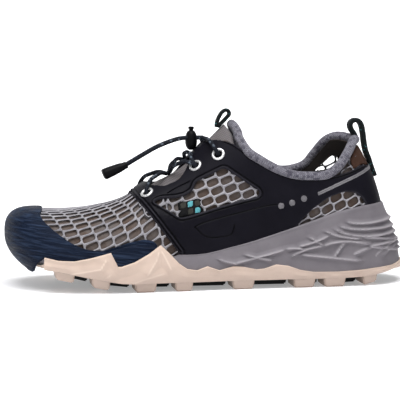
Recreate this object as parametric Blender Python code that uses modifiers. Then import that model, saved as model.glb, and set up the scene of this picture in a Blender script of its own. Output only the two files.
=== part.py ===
"""Left mesh trail sneaker, built as a maker puts it together: sole, upper, overlays, collar and lacing.

Metres, +Z up. The toe points along +X and the outer side of the foot is +Y.
The shoe stands on the floor at Z = 0, and the origin is under the middle of its length and width.
"""

import math
from collections import namedtuple

import bmesh
import bpy
import numpy as np
from mathutils import Matrix, Vector

# Driving dimensions of the last
SHOE_LENGTH = 0.300
BALL_WIDTH = 0.096
INSTEP_HEIGHT = 0.122
HEEL_HEIGHT = 0.105

# Walls, layers and the gap between neighbours
GAP = 0.0003
SOLE_GAP = 0.0004
UPPER_WALL = 0.0020
CAGE_THICKNESS = 0.0015
RAND_THICKNESS = 0.0017
TONGUE_THICKNESS = 0.0035
INSOLE_THICKNESS = 0.0035
WRAP_THICKNESS = 0.0025
RIM_THICKNESS = 0.0026
COLLAR_RADIUS = 0.0034
LACE_RADIUS = 0.0015

# Ends of the last, as shares of SHOE_LENGTH from the heel
LAST_HEEL = 0.043
LAST_TOE = 0.9933
HEEL_ROUND = 0.113
TOE_ROUND = 0.150
TOE_ROUND_POWER = 2.2
HEEL_FAN = 0.217
HEEL_FAN_PULL = 0.25
TOE_FAN = 0.833
TOE_FAN_PULL = 0.50
VAMP_POINT = 0.682

# Faceting
HALF_STATIONS = 26
RINGS_IN_SOLE = 2
RINGS_ABOVE_SOLE = 5

# Plan of the last at the foot bed: along is a share of SHOE_LENGTH, the rest are shares of BALL_WIDTH
Plan = namedtuple("Plan", "along centre outer inner")
PLAN = (
    Plan(0.040, 0.000, 0.350, 0.345),
    Plan(0.153, 0.000, 0.355, 0.350),
    Plan(0.267, 0.000, 0.375, 0.355),
    Plan(0.367, -0.010, 0.396, 0.328),
    Plan(0.467, -0.021, 0.427, 0.318),
    Plan(0.567, -0.031, 0.480, 0.344),
    Plan(0.667, -0.052, 0.536, 0.396),
    Plan(0.767, -0.068, 0.568, 0.424),
    Plan(0.840, -0.083, 0.552, 0.425),
    Plan(0.917, -0.094, 0.520, 0.417),
    Plan(1.000, -0.099, 0.520, 0.417),
)

# Side profile of the last: bed and ridge are shares of INSTEP_HEIGHT, fullness rounds the section
Profile = namedtuple("Profile", "along bed ridge fullness")
PROFILE = (
    Profile(0.040, 0.246, 0.955, 1.60),
    Profile(0.153, 0.242, 0.955, 1.75),
    Profile(0.267, 0.230, 1.105, 2.00),
    Profile(0.367, 0.217, 1.115, 2.05),
    Profile(0.443, 0.209, 1.000, 2.15),
    Profile(0.500, 0.205, 0.869, 2.25),
    Profile(0.533, 0.202, 0.787, 2.25),
    Profile(0.567, 0.200, 0.721, 2.25),
    Profile(0.600, 0.197, 0.672, 2.20),
    Profile(0.633, 0.195, 0.636, 2.15),
    Profile(0.667, 0.193, 0.589, 2.10),
    Profile(0.693, 0.193, 0.543, 2.05),
    Profile(0.723, 0.193, 0.511, 2.05),
    Profile(0.753, 0.193, 0.492, 2.06),
    Profile(0.813, 0.205, 0.468, 2.12),
    Profile(0.873, 0.230, 0.459, 2.25),
    Profile(0.910, 0.255, 0.466, 2.45),
    Profile(0.945, 0.280, 0.468, 2.75),
    Profile(1.000, 0.315, 0.468, 3.20),
)

# Top edge of the upper, from the heel round the collar and along the throat, in shares of HEEL_HEIGHT
Topline = namedtuple("Topline", "along outer inner")
TOPLINE = (
    Topline(0.043, 0.976, 0.976),
    Topline(0.067, 0.970, 0.984),
    Topline(0.093, 0.942, 0.992),
    Topline(0.133, 0.868, 0.985),
    Topline(0.180, 0.772, 0.898),
    Topline(0.230, 0.731, 0.770),
    Topline(0.280, 0.735, 0.738),
    Topline(0.320, 0.758, 0.758),
    Topline(0.357, 0.803, 0.803),
    Topline(0.393, 0.865, 0.865),
    Topline(0.423, 0.927, 0.927),
    Topline(0.443, 0.971, 0.971),
    Topline(0.463, 1.008, 1.008),
    Topline(0.493, 1.005, 1.005),
    Topline(0.517, 0.948, 0.948),
    Topline(0.550, 0.846, 0.846),
    Topline(0.580, 0.757, 0.757),
    Topline(0.610, 0.704, 0.704),
    Topline(0.640, 0.702, 0.702),
    Topline(0.667, 0.683, 0.683),
    Topline(0.690, 0.645, 0.645),
)

# Heights of the sole at its side: wave is the outsole's top edge, rim the midsole's, base the underside
# between the lugs and tread the plane of the lugs. Flare is how far the side stands out from the last.
Sole = namedtuple("Sole", "along wave rim base tread flare")
SOLE = (
    Sole(0.043, 0.0165, 0.0600, 0.0105, 0.0055, 0.0129),
    Sole(0.070, 0.0140, 0.0600, 0.0090, 0.0040, 0.0105),
    Sole(0.115, 0.0130, 0.0590, 0.0070, 0.0010, 0.0085),
    Sole(0.153, 0.0120, 0.0570, 0.0062, 0.0000, 0.0078),
    Sole(0.195, 0.0113, 0.0545, 0.0060, 0.0000, 0.0075),
    Sole(0.255, 0.0116, 0.0485, 0.0060, 0.0000, 0.0072),
    Sole(0.288, 0.0133, 0.0454, 0.0060, 0.0000, 0.0070),
    Sole(0.318, 0.0165, 0.0425, 0.0060, 0.0000, 0.0070),
    Sole(0.348, 0.0177, 0.0397, 0.0060, 0.0000, 0.0070),
    Sole(0.378, 0.0149, 0.0370, 0.0060, 0.0000, 0.0070),
    Sole(0.398, 0.0145, 0.0352, 0.0060, 0.0000, 0.0070),
    Sole(0.431, 0.0167, 0.0326, 0.0060, 0.0000, 0.0070),
    Sole(0.455, 0.0173, 0.0310, 0.0060, 0.0000, 0.0068),
    Sole(0.490, 0.0145, 0.0285, 0.0060, 0.0000, 0.0066),
    Sole(0.520, 0.0178, 0.0268, 0.0060, 0.0000, 0.0064),
    Sole(0.546, 0.0151, 0.0262, 0.0060, 0.0000, 0.0062),
    Sole(0.570, 0.0163, 0.0262, 0.0060, 0.0000, 0.0060),
    Sole(0.590, 0.0204, 0.0264, 0.0060, 0.0000, 0.0056),
    Sole(0.604, 0.0249, 0.0249, 0.0060, 0.0000, 0.0053),
    Sole(0.613, 0.0278, 0.0236, 0.0060, 0.0000, 0.0052),
    Sole(0.635, 0.0341, 0.0234, 0.0060, 0.0000, 0.0050),
    Sole(0.662, 0.0281, 0.0232, 0.0060, 0.0000, 0.0049),
    Sole(0.698, 0.0221, 0.0231, 0.0060, 0.0000, 0.0049),
    Sole(0.730, 0.0191, 0.0231, 0.0066, 0.0008, 0.0049),
    Sole(0.739, 0.0191, 0.0232, 0.0070, 0.0012, 0.0049),
    Sole(0.756, 0.0293, 0.0235, 0.0078, 0.0020, 0.0049),
    Sole(0.806, 0.0253, 0.0245, 0.0105, 0.0048, 0.0049),
    Sole(0.842, 0.0233, 0.0262, 0.0130, 0.0075, 0.0048),
    Sole(0.878, 0.0235, 0.0282, 0.0150, 0.0095, 0.0046),
    Sole(0.905, 0.0252, 0.0300, 0.0162, 0.0110, 0.0044),
    Sole(0.990, 0.0300, 0.0380, 0.0205, 0.0150, 0.0040),
)

# Stations that fall exactly on the peaks and notches of the outsole and on the ends of its wrap
FEATURE_STATIONS = (0.288, 0.348, 0.398, 0.455, 0.490, 0.520, 0.546, 0.590, 0.604, 0.613, 0.635,
                    0.662, 0.730, 0.739, 0.756, 0.806, 0.878, 0.905, 0.922)
STATION_CLEARANCE = 0.016
FOREFOOT_START = 0.630
WRAP_END = 0.910
TRAY_FLOOR = 0.0035
OUTSOLE_BEVEL = 0.0022
CORE_INSET = 0.0004
STEP = 0.0005
MIDSOLE_RINGS = (0.0, 0.3, 0.6, 0.85)
TOE_UNDERCUT = 0.0210
TOE_UNDERCUT_DROP = 0.0250
TOE_UNDERCUT_START = 0.850
TOE_UNDERCUT_SHARE = 0.68

# Outline of the cage and of its openings, seen from the side: along and up are shares of SHOE_LENGTH
CAGE_OUTLINE = (
    (0.694, 0.255), (0.692, 0.229), (0.658, 0.185), (0.621, 0.135), (0.590, 0.093), (0.570, 0.050),
    (0.020, 0.050), (0.020, 0.289), (0.085, 0.289), (0.113, 0.294), (0.143, 0.283), (0.180, 0.272),
    (0.230, 0.266), (0.280, 0.267), (0.320, 0.276), (0.357, 0.292), (0.393, 0.314), (0.423, 0.336),
    (0.443, 0.350), (0.462, 0.357), (0.478, 0.358), (0.493, 0.355), (0.512, 0.342), (0.530, 0.328),
    (0.549, 0.297), (0.567, 0.272), (0.580, 0.260), (0.612, 0.246), (0.640, 0.247), (0.656, 0.252),
    (0.675, 0.255),
)
SIDE_WINDOW = (
    (0.644, 0.211), (0.626, 0.219), (0.592, 0.221), (0.570, 0.226), (0.549, 0.238), (0.539, 0.259),
    (0.470, 0.293), (0.385, 0.236), (0.388, 0.224), (0.435, 0.214), (0.497, 0.198), (0.558, 0.180),
    (0.583, 0.175), (0.607, 0.190),
)
HEEL_WINDOW = (
    (0.300, 0.100), (0.292, 0.150), (0.275, 0.169), (0.249, 0.193), (0.210, 0.218), (0.170, 0.231),
    (0.143, 0.229), (0.122, 0.215), (0.112, 0.195), (0.120, 0.100),
)
RAND_OUTLINE = (
    (0.893, 0.230), (0.901, 0.194), (0.917, 0.179), (0.911, 0.167), (0.893, 0.151), (0.862, 0.128),
    (0.840, 0.115), (0.817, 0.106),
    (0.795, 0.102), (0.775, 0.101), (0.755, 0.106), (0.732, 0.113), (0.703, 0.121), (0.673, 0.126),
    (0.653, 0.123), (0.640, 0.112), (0.645, 0.060), (0.700, 0.056), (0.760, 0.056), (0.850, 0.066),
    (0.9035, 0.074), (0.9045, 0.0885), (0.928, 0.066), (0.932, 0.040), (1.050, 0.040), (1.050, 0.230),
)

CAGE_FRONT = 0.715
RAND_BACK = 0.620

PATCH_FRONT = 0.185
PATCH_THICKNESS = 0.0009
PATCH_OUTLINE = ((0.020, 0.2905), (0.085, 0.2905), (0.113, 0.2955), (0.141, 0.2855),
                 (0.141, 0.400), (0.020, 0.400))

# Tongue: turn is how far it reaches down each side from the ridge, in radians
Tongue = namedtuple("Tongue", "along turn")
TONGUE = (
    Tongue(0.690, 0.40),
    Tongue(0.663, 0.60),
    Tongue(0.630, 0.72),
    Tongue(0.600, 0.76),
    Tongue(0.570, 0.70),
    Tongue(0.540, 0.64),
    Tongue(0.510, 0.66),
    Tongue(0.485, 0.72),
    Tongue(0.470, 0.77),
    Tongue(0.455, 0.82),
)
TONGUE_LENGTH = (TONGUE[0].along - TONGUE[-1].along) * SHOE_LENGTH
TONGUE_COLUMNS = 13
TONGUE_BOW = 0.0015
TONGUE_CLEARANCE = 0.0027
TONGUE_PAD_TURN = 0.24
TONGUE_PAD = ((0.450, 0.85), (0.500, 0.85), (0.545, 0.20), (0.635, 0.20), (0.665, 0.0))
TONGUE_TOP_DIRECTION = (-0.97, 0.0, 0.24)
TONGUE_TOP_INWARD = (-0.80, 0.0, -0.60)
COLLAR_LEAVES_UPPER = 0.420
COLLAR_ON_TONGUE = 0.1055
COLLAR_BEHIND_TONGUE = 0.0048
COLLAR_GAP = 0.0009

# Eyelets on each side: along and up are shares of SHOE_LENGTH
EYELETS = ((0.654, 0.2285), (0.534, 0.294), (0.480, 0.323))
EYELET_MAJOR = 0.0038
EYELET_MINOR = 0.0011
EYELET_HOLE = 0.0028
EYELET_FLATNESS = 0.7

# Lacing: places are along and up in shares of SHOE_LENGTH, or metres
LACE_OVER_TONGUE = -0.0008
LACE_POINTS = 9
LACE_CLEARANCE = 0.0018
LOCK_X = 0.0105
LOCK_HEIGHT = 0.1083
LOCK_WIDENING = 1.25
LOCK_PROFILE = ((0, 0.0080), (0.0026, 0.0078), (0.0028, 0.0052), (0.0042, 0.0046), (0.0049, 0.0015),
                (0.0049, -0.0030), (0.0040, -0.0070), (0, -0.0078))
LOCK_CHANNEL = (0.020, 0.0080, 0.0037)
CORD_HEIGHT = 0.1088
CORD_SPREAD = 0.0022
CORD_POINTS = 18
CORD_OUT = 0.0010
CORD_UP = (0.0015, 0.0, 0.0050)
CORD_ARC = ((0.580, 0.3570), (0.622, 0.3410), (0.658, 0.3203), (0.686, 0.3040))
CORD_END_PLACE = (0.0675, 0.0, 0.0854)
CORD_END_DIRECTION = (0.923, 0.0, -0.385)
CORD_END_LENGTH = 0.016
CORD_END_PROFILE = (
    (0, 0.0080), (0.0021, 0.0080), (0.0025, 0.0030), (0.0036, -0.0060), (0.0030, -0.0080), (0, -0.0080),
)

# Pull loops
STRAP_THICKNESS = 0.0018
STRAP_POINTS = 18
HEEL_LOOP_WIDTH = 0.010
HEEL_LOOP_ON_CAGE = ((0.079, 0.0), (0.086, 0.0002), (0.092, 0.0010), (0.098, 0.0018))
HEEL_LOOP_FREE = ((0.0950, 0.3480), (0.0985, 0.3740), (0.1035, 0.3940), (0.1135, 0.4040), (0.1260, 0.4015),
                  (0.1315, 0.3930), (0.1290, 0.3820), (0.1240, 0.3745))
TONGUE_LOOP_WIDTH = 0.007
TONGUE_LOOP = ((0.4715, 0.3880), (0.4693, 0.4040), (0.4587, 0.4240), (0.4457, 0.4310), (0.4393, 0.4210),
               (0.4487, 0.4090), (0.4583, 0.3990))

# Lugs of the tread: along is the middle, across is measured from the centre line in half widths
Lug = namedtuple("Lug", "along length across width")
EDGE_LUG_ACROSS = 0.80
EDGE_LUG_WIDTH = 0.020
MIDDLE_LUG_WIDTH = 0.017
LUG_TAPER = 0.84
EDGE_LUGS = ((0.865, 0.048), (0.780, 0.046), (0.672, 0.056), (0.578, 0.047), (0.430, 0.058),
             (0.277, 0.058), (0.200, 0.058), (0.108, 0.042))
MIDDLE_LUGS = ((0.825, 0.036), (0.728, 0.040), (0.628, 0.040), (0.240, 0.034), (0.155, 0.034))

# Colours as red, green, blue, with roughness and metallic value
FINISHES = {
    "grey_mesh": ((0.36, 0.35, 0.37), 0.80, 0.0),
    "grey_knit": ((0.17, 0.16, 0.19), 0.90, 0.0),
    "black_film": ((0.022, 0.021, 0.027), 0.50, 0.0),
    "navy_rubber": ((0.020, 0.035, 0.075), 0.60, 0.0),
    "grey_foam": ((0.33, 0.31, 0.33), 0.70, 0.0),
    "beige_rubber": ((0.80, 0.64, 0.52), 0.65, 0.0),
    "tongue_textile": ((0.30, 0.28, 0.29), 0.85, 0.0),
    "insole_textile": ((0.10, 0.09, 0.09), 0.90, 0.0),
    "steel": ((0.80, 0.80, 0.80), 0.25, 1.0),
    "black_cord": ((0.012, 0.013, 0.018), 0.75, 0.0),
    "black_plastic": ((0.012, 0.012, 0.014), 0.40, 0.0),
    "black_webbing": ((0.012, 0.016, 0.018), 0.80, 0.0),
    "brown_lining": ((0.115, 0.065, 0.045), 0.75, 0.0),
}


# Tables as smooth functions

def along_to_x(along):
    return (np.asarray(along, float) - 0.5) * SHOE_LENGTH


def smooth(rows, column):
    """A function of x through one column of a table, smooth and with no overshoot."""
    x = along_to_x([row.along for row in rows])
    y = np.array([getattr(row, column) for row in rows], float)
    step = np.diff(x)
    slope = np.diff(y) / step
    tangent = np.concatenate([slope[:1], np.zeros(len(slope) - 1), slope[-1:]])
    same_way = np.flatnonzero(slope[:-1] * slope[1:] > 0)
    before, after = 2 * step[same_way + 1] + step[same_way], step[same_way + 1] + 2 * step[same_way]
    tangent[same_way + 1] = (before + after) / (before / slope[same_way] + after / slope[same_way + 1])

    def at(value):
        value = np.clip(value, x[0], x[-1])
        i = np.clip(np.searchsorted(x, value) - 1, 0, len(step) - 1)
        t = (value - x[i]) / step[i]
        return (y[i] * (1 + 2 * t) * (1 - t) ** 2 + tangent[i] * step[i] * t * (1 - t) ** 2
                + y[i + 1] * t * t * (3 - 2 * t) + tangent[i + 1] * step[i] * t * t * (t - 1))

    return at


def straight(rows, column):
    """A function of x through one column of a table, in straight runs."""
    x = along_to_x([row.along for row in rows])
    y = np.array([getattr(row, column) for row in rows], float)
    return lambda value: np.interp(value, x, y)


CENTRE, OUTER, INNER = (smooth(PLAN, column) for column in ("centre", "outer", "inner"))
BED, RIDGE, FULLNESS = (smooth(PROFILE, column) for column in ("bed", "ridge", "fullness"))
TOP_OUTER, TOP_INNER = (smooth(TOPLINE, column) for column in ("outer", "inner"))
WAVE, RIM, BASE, TREAD, FLARE = (straight(SOLE, column) for column in Sole._fields[1:])


# The last

def end_rounding(x):
    """1 along the middle of the shoe, falling to 0 at the heel and toe ends of the last."""
    heel_end, toe_end = along_to_x(LAST_HEEL), along_to_x(LAST_TOE)
    heel = np.clip(1 - (x - heel_end) / (HEEL_ROUND * SHOE_LENGTH), 0, 1)
    toe = np.clip(1 - (toe_end - x) / (TOE_ROUND * SHOE_LENGTH), 0, 1)
    return np.sqrt(1 - heel ** 2) * (1 - toe ** TOE_ROUND_POWER) ** (1 / TOE_ROUND_POWER)


def half_width(x, side):
    """Distance from the centre line to the edge of the foot bed. Side is +1 outer, -1 inner."""
    width = OUTER(x) if side > 0 else INNER(x)
    return width * BALL_WIDTH * end_rounding(x)


def spine_x(x):
    """Where the section of a station closes: straight across in the middle, drawn together at both ends."""
    heel, toe = along_to_x(HEEL_FAN), along_to_x(TOE_FAN)
    return (np.clip(x, heel, toe) + np.minimum(x - heel, 0) * HEEL_FAN_PULL
            + np.maximum(x - toe, 0) * TOE_FAN_PULL)


def station_positions():
    """x of the stations: one on each feature, and evenly spaced round the edge between them."""
    turn = np.linspace(0, math.pi, 800)
    heel_end, toe_end = along_to_x(LAST_HEEL), along_to_x(LAST_TOE)
    x = heel_end + (toe_end - heel_end) * (1 - np.cos(turn)) / 2
    y = (half_width(x, 1) + half_width(x, -1)) / 2
    run = np.concatenate([[0], np.cumsum(np.hypot(np.diff(x), np.diff(y)))])
    even = np.interp(np.linspace(0, run[-1], HALF_STATIONS + 1), run, x)
    features = along_to_x(FEATURE_STATIONS)
    least = STATION_CLEARANCE * SHOE_LENGTH
    clear = [station for station in even if np.min(abs(features - station)) > least]
    return np.sort(np.concatenate([clear, features]))


class Columns:
    """The upright sections of the last, from the heel along the outer side to the toe and back."""

    def __init__(self, stations):
        last = len(stations) - 1
        order = [(i, 1) for i in range(last + 1)] + [(i, -1) for i in range(last - 1, 0, -1)]
        self.count = len(order)
        self.half = last
        self.x = np.array([stations[i] for i, _ in order])
        self.side = np.array([side for _, side in order])
        width = np.where(self.side > 0, half_width(self.x, 1), half_width(self.x, -1))
        self.edge = np.stack([self.x, CENTRE(self.x) * BALL_WIDTH + self.side * width], 1)
        spine = spine_x(self.x)
        self.spine = np.stack([spine, CENTRE(spine) * BALL_WIDTH], 1)
        across = self.edge - self.spine
        self.depth = np.linalg.norm(across, axis=1)
        self.outward = across / self.depth[:, None]
        self.bed = BED(self.x) * INSTEP_HEIGHT
        self.ridge = RIDGE(spine) * INSTEP_HEIGHT
        self.fullness = FULLNESS(self.x)
        self.open = self.x < along_to_x(VAMP_POINT)
        top = np.where(self.side > 0, TOP_OUTER(self.x), TOP_INNER(self.x)) * HEEL_HEIGHT
        self.top = np.where(self.open, np.minimum(top, self.ridge), self.ridge)

    def at(self, offset, height):
        """Points that stand this far outside the edge of the foot bed, at this height."""
        plan = self.edge + self.outward * np.broadcast_to(offset, self.count)[:, None]
        return np.column_stack([plan, np.broadcast_to(height, self.count)])

    def x_at(self, offset):
        """Where along the shoe the points at this offset lie, which matters round the toe and heel."""
        return self.edge[:, 0] + self.outward[:, 0] * offset

    def bed_at(self, offset):
        return BED(self.x_at(offset)) * INSTEP_HEIGHT

    def angle(self, height):
        """The section's angle at a height: 0 at the bed and a right angle at the ridge."""
        share = np.clip((height - self.bed) / (self.ridge - self.bed), 0, 1)
        return np.arcsin(share ** (self.fullness / 2))

    def upper_offset(self, height):
        """How far the upper's outside stands from the edge of the bed at a height: negative is inward."""
        power = 2 / self.fullness
        return self.depth * (np.cos(self.angle(height)) ** power - 1)

    def section(self, angle):
        """Points on the outside of the upper at an angle of each section."""
        power = 2 / self.fullness
        inward = self.depth * (np.cos(angle) ** power - 1)
        rise = (self.ridge - self.bed) * np.sin(angle) ** power
        return self.at(inward, self.bed + rise)

    def front(self, start):
        """Indices of the columns ahead of a station, round the toe."""
        first = int(np.argmax(self.x[:self.half + 1] >= along_to_x(start)))
        return np.arange(first, self.count - first + 1) % self.count

    def rear(self, end):
        """Indices of the columns behind a station, round the heel."""
        last = int(np.argmax(self.x[:self.half + 1] >= along_to_x(end)))
        return np.arange(-last, last + 1) % self.count

    def undercut_offset(self, height):
        """Below the bed the form goes straight down, and under the toe it draws back."""
        start, end = along_to_x(TOE_UNDERCUT_START), along_to_x(LAST_TOE)
        share = np.clip((self.x - start) / (end - start), 0, 1)
        drop = np.clip((self.bed - height) / TOE_UNDERCUT_DROP, 0, None)
        most = np.minimum(TOE_UNDERCUT, self.depth * TOE_UNDERCUT_SHARE)
        return -most * share * share * (3 - 2 * share) * np.minimum(drop, 1) ** 2


LAST = Columns(station_positions())


def on_upper(x, height, side, lift=0.0):
    """A point on the outside of the upper between the heel and toe fans, and the normal there."""
    def point(along_x, up):
        bed, ridge, power = BED(along_x) * INSTEP_HEIGHT, RIDGE(along_x) * INSTEP_HEIGHT, FULLNESS(along_x)
        share = np.clip((up - bed) / (ridge - bed), 0, 1)
        reach = half_width(along_x, side) * (1 - share ** power) ** (1 / power)
        return Vector((along_x, CENTRE(along_x) * BALL_WIDTH + side * reach, up))

    step = 0.0005
    forward = point(x + step, height) - point(x - step, height)
    upward = point(x, height + step) - point(x, height - step)
    normal = side * upward.cross(forward).normalized()
    return point(x, height) + normal * lift, normal


# Meshes

def material(finish):
    made = bpy.data.materials.get(finish)
    if made is None:
        colour, roughness, metallic = FINISHES[finish]
        made = bpy.data.materials.new(finish)
        made.use_nodes = True
        shader = made.node_tree.nodes["Principled BSDF"]
        shader.inputs["Base Color"].default_value = (*colour, 1)
        shader.inputs["Roughness"].default_value = roughness
        shader.inputs["Metallic"].default_value = metallic
    return made


def add_object(name, data, finish, collection):
    made = bpy.data.objects.new(name, data)
    collection.objects.link(made)
    if finish:
        data.materials.append(material(finish))
    return made


def mesh_from(bm, name, smooth_angle=math.radians(40)):
    mesh = bpy.data.meshes.new(name)
    bm.to_mesh(mesh)
    bm.free()
    mesh.shade_smooth()
    mesh.set_sharp_from_angle(angle=smooth_angle)
    return mesh


def sheet(rings, closed=True):
    """An open sheet through rings of points, its faces turned outwards."""
    bm = bmesh.new()
    rows = [[bm.verts.new(point) for point in ring] for ring in rings]
    columns = len(rows[0])
    for low, high in zip(rows, rows[1:]):
        for i in range(columns if closed else columns - 1):
            j = (i + 1) % columns
            bm.faces.new((low[i], high[i], high[j]))
            bm.faces.new((low[i], high[j], low[j]))
    bmesh.ops.remove_doubles(bm, verts=bm.verts, dist=1e-6)
    bm.normal_update()
    return bm


def lift_along_normals(bm, distance):
    moved = [vertex.co + vertex.normal * distance for vertex in bm.verts]
    for vertex, place in zip(bm.verts, moved):
        vertex.co = place


def ring_solid(name, rings, finish, collection):
    """A closed solid through rings round the shoe, the first and last filled straight across."""
    bm = bmesh.new()
    rows = [[bm.verts.new(point) for point in ring] for ring in rings]
    count = len(rows[0])
    for low, high in zip(rows, rows[1:]):
        for i in range(count):
            j = (i + 1) % count
            bm.faces.new((low[i], high[i], high[j], low[j]))
    for row in (rows[0], rows[-1]):
        for i in range(count // 2):
            corners = [row[i], row[i + 1], row[-i - 1], row[-i]]
            bm.faces.new(list(dict.fromkeys(corners)))
    bmesh.ops.recalc_face_normals(bm, faces=bm.faces)
    return add_object(name, mesh_from(bm, name), finish, collection)


def solidify(obj, thickness, outward):
    modifier = obj.modifiers.new("Thickness", "SOLIDIFY")
    modifier.thickness = thickness
    modifier.offset = 1 if outward else -1
    modifier.use_quality_normals = True


def boolean(obj, operation, cutter):
    modifier = obj.modifiers.new(operation.title(), "BOOLEAN")
    modifier.operation = operation
    modifier.object = cutter
    modifier.use_self = True


def as_cutter(obj):
    obj.hide_render = True
    obj.display_type = "WIRE"
    return obj


def mesh_of(obj, name, collection):
    """A plain mesh object in place of a curve, with its caps welded on."""
    bpy.context.view_layer.update()
    mesh = bpy.data.meshes.new_from_object(obj.evaluated_get(bpy.context.evaluated_depsgraph_get()))
    bm = bmesh.new()
    bm.from_mesh(mesh)
    bmesh.ops.remove_doubles(bm, verts=bm.verts, dist=1e-6)
    bmesh.ops.recalc_face_normals(bm, faces=bm.faces)
    bm.to_mesh(mesh)
    bm.free()
    made = bpy.data.objects.new(name, mesh)
    made.matrix_world = obj.matrix_world
    collection.objects.link(made)
    bpy.data.objects.remove(obj)
    return made


def side_prism(name, outline, collection):
    """A cutter with this outline in the side view, right through the width of the shoe."""
    curve = bpy.data.curves.new(name, "CURVE")
    curve.dimensions = "2D"
    curve.fill_mode = "BOTH"
    curve.extrude = BALL_WIDTH
    spline = curve.splines.new("POLY")
    spline.points.add(len(outline) - 1)
    for point, (along, up) in zip(spline.points, outline):
        point.co = (along_to_x(along), up * SHOE_LENGTH, 0, 1)
    spline.use_cyclic_u = True
    flat = bpy.data.objects.new(name + "_outline", curve)
    flat.rotation_euler = (math.pi / 2, 0, 0)
    collection.objects.link(flat)
    return as_cutter(mesh_of(flat, name, collection))


def eyelet_cutters(collection):
    """One cutter made of a pin through each eyelet."""
    bm = bmesh.new()
    for along, up in EYELETS:
        for side in (1, -1):
            place, normal = on_upper(along_to_x(along), up * SHOE_LENGTH, side)
            turned = Matrix.Translation(place) @ normal.to_track_quat("Z", "Y").to_matrix().to_4x4()
            bmesh.ops.create_cone(bm, cap_ends=True, segments=12, radius1=EYELET_HOLE, radius2=EYELET_HOLE,
                                  depth=0.012, matrix=turned)
    return as_cutter(add_object("eyelet_pins", mesh_from(bm, "eyelet_pins"), None, collection))


def tube(name, points, radius, finish, collection, sides=2, cyclic=False):
    """A round cord through points, with filled ends."""
    curve = bpy.data.curves.new(name, "CURVE")
    curve.dimensions = "3D"
    curve.bevel_depth = radius
    curve.bevel_resolution = sides
    curve.use_fill_caps = not cyclic
    spline = curve.splines.new("POLY")
    spline.points.add(len(points) - 1)
    for knot, point in zip(spline.points, points):
        knot.co = (*point, 1)
    spline.use_cyclic_u = cyclic
    return add_object(name, curve, finish, collection)


def smooth_route(points, count):
    """Evenly spaced points on a smooth curve through the route's own points."""
    knots = np.array([tuple(point) for point in points], float)
    ends = np.vstack([2 * knots[0] - knots[1], knots, 2 * knots[-1] - knots[-2]])
    fine = []
    for a, b, c, d in zip(ends, ends[1:], ends[2:], ends[3:]):
        for t in np.linspace(0, 1, 24, endpoint=False):
            fine.append(0.5 * (2 * b + (c - a) * t + (2 * a - 5 * b + 4 * c - d) * t ** 2
                               + (3 * b - a - 3 * c + d) * t ** 3))
    fine = np.vstack([fine, knots[-1]])
    run = np.concatenate([[0], np.cumsum(np.linalg.norm(np.diff(fine, axis=0), axis=1))])
    even = np.linspace(0, run[-1], count)
    return np.stack([np.interp(even, run, fine[:, axis]) for axis in range(3)], 1)


# Sole

def wrapped():
    """True where the outsole climbs the side of the shoe: everywhere but under the toe."""
    return LAST.x < along_to_x(WRAP_END)


def forefoot():
    """True where the foot bed is a flat core inside the outsole's wrap."""
    return LAST.x > along_to_x(FOREFOOT_START)


def tray_floor(offset):
    """Height of the floor that the midsole stands on."""
    return BASE(LAST.x_at(offset)) + TRAY_FLOOR


def slab_edge():
    """Offset at which the sole's core meets the tray floor, drawn back under the toe like the form."""
    offset = np.zeros(LAST.count)
    for _ in range(4):
        offset = LAST.undercut_offset(tray_floor(offset)) - CORE_INSET
    return offset


def wrap_inner_offset():
    """Inside of the outsole's side wall: clear of the rand in front, a fixed thickness behind."""
    return np.where(forefoot(), GAP + RAND_THICKNESS + SOLE_GAP, FLARE(LAST.x) - WRAP_THICKNESS)


def outsole(collection, cutters):
    """A tray with a wavy wall, which is only a slab under the toe, and block lugs below."""
    x, wall = LAST.x, wrapped()
    flare = np.where(wall, FLARE(x), slab_edge())
    low = np.where(wall, flare, LAST.undercut_offset(BASE(LAST.x_at(flare))) - CORE_INSET) - OUTSOLE_BEVEL
    low = np.maximum(low, -LAST.depth * TOE_UNDERCUT_SHARE)
    inner = np.where(wall, wrap_inner_offset(), flare - 3 * STEP)
    floor = tray_floor(flare)
    wave = np.where(wall, WAVE(x), floor)
    base = BASE(LAST.x_at(low))
    rings = [
        LAST.at(low, base),
        LAST.at(np.where(wall, flare, low * 0.4 + flare * 0.6), base + (floor - base) * 0.6),
        LAST.at(flare, floor),
        LAST.at(np.where(wall, flare, flare - STEP), np.where(wall, wave, floor)),
        LAST.at(np.where(wall, inner, flare - 2 * STEP), np.where(wall, wave, floor)),
        LAST.at(inner, tray_floor(inner)),
    ]
    slab = ring_solid("outsole", rings, "beige_rubber", collection)
    lugs = bpy.data.collections.new("lugs")
    cutters.children.link(lugs)
    for along, length in EDGE_LUGS:
        for side in (1, -1):
            lug(lugs, Lug(along, length, side * EDGE_LUG_ACROSS, EDGE_LUG_WIDTH))
    for along, length in MIDDLE_LUGS:
        lug(lugs, Lug(along, length, 0.0, MIDDLE_LUG_WIDTH))
    modifier = slab.modifiers.new("Lugs", "BOOLEAN")
    modifier.operation = "UNION"
    modifier.operand_type = "COLLECTION"
    modifier.collection = lugs
    return slab


def lug(collection, spec):
    """A tapered block that starts inside the outsole and ends on the tread."""
    x = along_to_x(spec.along)
    side = 1 if spec.across >= 0 else -1
    y = CENTRE(x) * BALL_WIDTH + spec.across * (half_width(x, side) - 0.002)
    bm = bmesh.new()
    bmesh.ops.create_cube(bm, size=1)
    half_length = spec.length * SHOE_LENGTH / 2
    for corner in bm.verts:
        share = LUG_TAPER if corner.co.z < 0 else 1.0
        corner_x = x + math.copysign(half_length * share, corner.co.x)
        corner_y = y + math.copysign(spec.width / 2 * share, corner.co.y)
        up = TREAD(corner_x) if corner.co.z < 0 else BASE(corner_x) + 0.0012
        corner.co = (corner_x, corner_y, up)
    name = f"lug_{len(collection.objects)}"
    as_cutter(add_object(name, mesh_from(bm, name), None, collection))


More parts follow.
